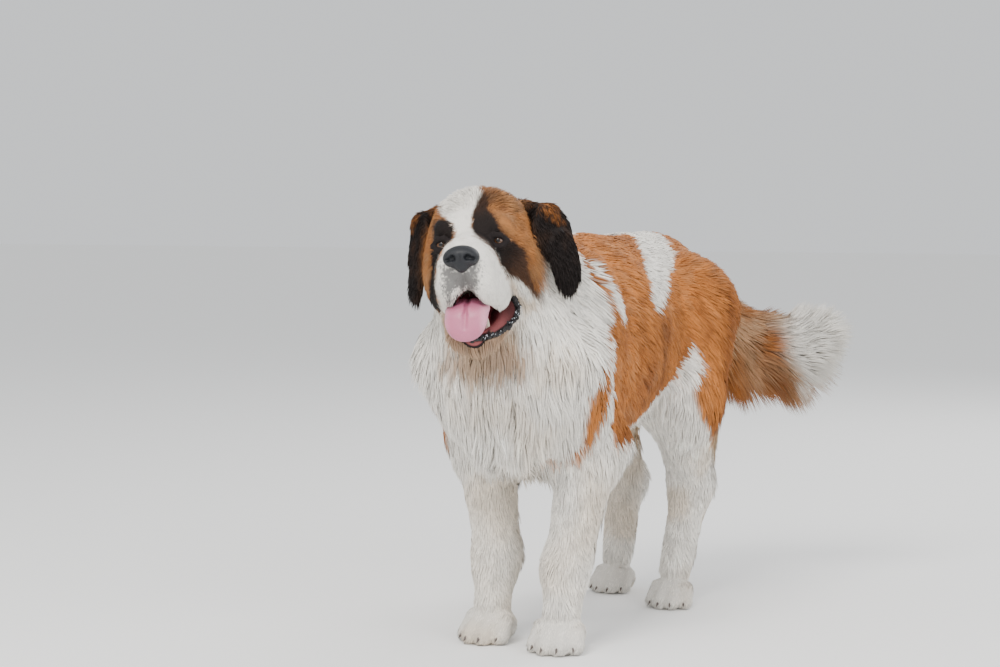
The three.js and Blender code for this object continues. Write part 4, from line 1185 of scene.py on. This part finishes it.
# Fringes that stand off the body are shaded by their own sides, the rest more by the body under them
rear_fringe = np.isin(region, ("torso", "leg")) & (normal[:, 1] > 0.25) & (root[:, 1] > 100)
softness = np.where(np.isin(region, ("tail", "ear")) | rear_fringe, FRINGE_SOFTNESS, BODY_SOFTNESS)
lock_tone = 1 + 0.12 * noise(root + 90, 9)[:, 0] + 0.06 * noise(root + 10, 26)[:, 2]
lock_tone = lock_tone + rng.normal(0, 0.05, len(root))
for piece, (slot, chosen) in PIECES.items():
    meshes = []
    for bends, group in ((0, length < LONG), (1, length >= LONG)):
        here = np.nonzero(chosen & group)[0]
        if not len(here):
            continue
        lines = tuft_lines(root[here], normal[here], flat[here], length[here], lift[here], bends, wave[here])
        tone = lock_tone[here]
        if bends:
            lines, leader = clumped(lines, length[here], 0.25 if piece == "coat_tail" else 0.45)
            tone = tone[leader]
        # Painted shade: the rings of each tuft are darker towards its root, which the tufts over it shade,
        # and a little lighter at the tip
        root_shade = ((0.94, 1.02), (0.87, 0.97, 1.04))[bends]
        tinted = colour[here] * tone[:, None]
        soft = softness[here, None]
        meshes.append(tuft_mesh(lines, normal[here], width[here], tinted, places[here], root_shade, soft))
    vertices, corners = fused([mesh[:2] for mesh in meshes])
    colours, uv, facing = (np.concatenate([mesh[i] for mesh in meshes]) for i in (2, 3, 4))
    vertices[:, 2] = np.maximum(vertices[:, 2], FLOOR_GAP)
    mesh_object(piece, (vertices, corners), colours, HAIR, uv=uv, normals=facing)


# Eyes, nose, tongue, claws and teeth
def closed_rings(start, rings, end):
    """A closed surface through rings of points, from one end point to the other."""
    count, sides = rings.shape[:2]
    vertices = np.concatenate([[start], rings.reshape(-1, 3), [end]])
    last = 1 + (count - 1) * sides
    faces = []
    for k in range(sides):
        following = (k + 1) % sides
        faces.append((0, 1 + k, 1 + following))
        for i in range(count - 1):
            a, b = 1 + i * sides + k, 1 + i * sides + following
            faces += [(a, a + sides, b + sides), (a, b + sides, b)]
        faces.append((last + k, len(vertices) - 1, last + following))
    return vertices, np.array(faces)


def sphere(radius, sides, count):
    """A sphere with its pole towards -Y."""
    a = math.pi * np.arange(1, count)[:, None] / count
    b = 2 * math.pi * np.arange(sides) / sides
    rings = radius * columns(np.sin(a) * np.cos(b), -np.cos(a), np.sin(a) * np.sin(b))
    return closed_rings((0, -radius, 0), rings, (0, radius, 0))


def cone(at, toward, radius, length, bend, sides=10, count=6):
    """A curved cone, such as a claw or a tooth."""
    at, toward = np.array(at, float), unit(np.array(toward, float))
    across = unit(np.cross(toward, (0, 0, 1)))
    up = np.cross(across, toward)
    t = np.arange(count)[:, None, None] / count
    a = 2 * math.pi * np.arange(sides)[:, None] / sides
    rings = at + toward * length * t + up * bend * t * t
    rings = rings + radius * (1 - t**1.6) * (np.cos(a) * across * 0.8 + np.sin(a) * up)
    return closed_rings(at, rings, at + toward * length + up * bend)


for name, side in (("eye_left", 1), ("eye_right", -1)):
    vertices, faces = sphere(13.0, 48, 40)
    off_axis = np.degrees(np.arccos(np.clip(-unit(vertices)[:, 1], -1, 1)))
    turn = np.arctan2(vertices[:, 2], vertices[:, 0])
    rays = 1 + 0.22 * np.sin(17 * turn) + 0.12 * np.sin(41 * turn + 1)
    iris = np.array((0.085, 0.034, 0.011)) * rays[:, None]
    colour = mix(np.array((0.13, 0.085, 0.065)), np.array((0.02, 0.01, 0.006)), smoothstep(42, 39, off_axis))
    colour = mix(colour, iris, smoothstep(38, 34, off_axis))
    colour = mix(colour, np.array((0.004, 0.003, 0.003)), smoothstep(17, 14.5, off_axis))
    vertices = vertices @ (HEAD_SPIN @ rotation((0, 0, 5 * side))).T + eye_middle(side)
    mesh_object(name, (vertices, faces), colour, EYEBALL, [name])

nose = surface(NOSE, NOSE_CUTS, 1.2, NOSE_BLEND)
mesh_object("nose_leather", nose, (0.009, 0.010, 0.013), LEATHER, ["nose"])

tongue = surface(TONGUE, TONGUE_CUTS, 2.0, TONGUE_BLEND)
edge = smoothstep(20, 34, np.abs(head_frame(tongue[0])[:, 0] + 6))
tongue_colour = mix(np.array((0.50, 0.15, 0.24)), np.array((0.62, 0.27, 0.36)), edge)
mesh_object("tongue_flesh", tongue, tongue_colour, FLESH, ["tongue"])

claws = []
for name, (_, heading, size) in FEET.items():
    for x, y in ((-37, -38), (-13.5, -58), (13.5, -58), (37, -38)):
        toward = rotation((0, 0, heading)) @ np.array((x * 0.006, -1, -0.35))
        claws.append(cone(paw_point(name, (x, y + 6, 17)), toward, 4.6 * size, 17 * size, -5 * size))
vertices, faces = fused(claws)
vertices[:, 2] = np.maximum(vertices[:, 2], 0.6)
mesh_object("claws", (vertices, faces), (0.09, 0.07, 0.06), CLAW)

teeth = []
for side in (1, -1):
    toward = HEAD_SPIN @ np.array((side * 0.15, -0.1, 1))
    teeth.append(cone(head_point((side * 20, -116, -150)), toward, 5, 28, 2))
mesh_object("teeth", fused(teeth), (0.72, 0.66, 0.52), CLAW)


def beads(places, radii):
    """Small round bumps, in the head's own frame."""
    points, faces = sphere(1.0, 10, 7)
    return fused([(place + r * points, faces) for place, r in zip(head_point(places), radii)])


def along_lip(count, start, end):
    """Random places along the edge of the lower lip, from one share of its length to another."""
    stops = np.array(LIP, float)
    t = np.sort(rng.uniform(start, end, count)) * (len(stops) - 1)
    i = np.minimum(t.astype(int), len(stops) - 2)
    return stops[i] + (t - i)[:, None] * (stops[i + 1] - stops[i])


spots = along_lip(170, 0, 1)
bumps = beads(spots + rng.normal(0, 1.9, spots.shape), rng.uniform(2.0, 4.2, len(spots)))
mesh_object("lip_bumps", bumps, (0.014, 0.013, 0.014), LEATHER)
spots = np.concatenate([along_lip(46, 0.12, 0.42), along_lip(26, 0.55, 0.8)])
drops = beads(spots + rng.normal(0, 2.4, spots.shape) + (2, -2, 1.5), rng.uniform(0.6, 1.3, len(spots)))
mesh_object("froth", drops, (0.62, 0.66, 0.70), EYEBALL)


# Floor, light and camera
def make_floor():
    mesh = bpy.data.meshes.new("floor")
    size = 30
    corners = [(x * size, y * size, 0) for x, y in ((-1, -1), (1, -1), (1, 1), (-1, 1))]
    mesh.from_pydata(corners, [], [(0, 1, 2, 3)])
    material, shader = new_material("pale floor", 0.9)
    shader.inputs["Base Color"].default_value = (0.96, 0.955, 0.94, 1)
    mesh.materials.append(material)
    linked("floor", mesh)


def make_light(name, place, size, power, colour):
    data = bpy.data.lights.new(name, "AREA")
    data.size = size
    data.energy = power
    data.color = colour
    light = linked(name, data)
    light.location = place
    middle_of_dog = Vector((0, -0.1, 0.45))
    light.rotation_euler = (middle_of_dog - Vector(place)).to_track_quat("-Z", "Y").to_euler()


def make_camera():
    """The photo's camera, placed by the four paws: its height, its distance and its slight pitch."""
    azimuth, height, focal_pixels, horizon_row = math.radians(27), 800.0, 2352.0, 200.0
    photo_width, photo_height = 1000, 667
    across = np.array((math.cos(azimuth), math.sin(azimuth), 0))
    ahead = np.array((-math.sin(azimuth), math.cos(azimuth), 0))
    between_front_paws = np.array((0, -235.0, 0))
    left_of_paws, distance_to_paws = 44.0, 4185.0
    place = between_front_paws - across * left_of_paws - ahead * distance_to_paws
    place[2] = height
    pitch = math.atan2(photo_height / 2 - horizon_row, focal_pixels)
    view = ahead * math.cos(pitch) - np.array((0, 0, math.sin(pitch)))
    data = bpy.data.cameras.new("camera")
    data.sensor_width = 36
    data.lens = focal_pixels / photo_width * data.sensor_width
    data.clip_end = 100
    camera = linked("camera", data)
    camera.location = metres(place)
    camera.rotation_euler = Vector(view).to_track_quat("-Z", "Y").to_euler()
    bpy.context.scene.camera = camera


make_floor()
make_light("key", (0.2, -3.6, 3.9), 2.2, 230, (1.0, 0.975, 0.94))
make_light("fill", (4.2, -1.8, 2.4), 3.2, 90, (0.95, 0.97, 1.0))
make_light("back", (1.0, 4.2, 3.4), 2.6, 110, (1.0, 1.0, 1.0))
world = bpy.data.worlds.new("studio")
world.use_nodes = True
background = world.node_tree.nodes["Background"]
background.inputs["Color"].default_value = (0.92, 0.94, 0.96, 1)
background.inputs["Strength"].default_value = 0.95
bpy.context.scene.world = world
make_camera()
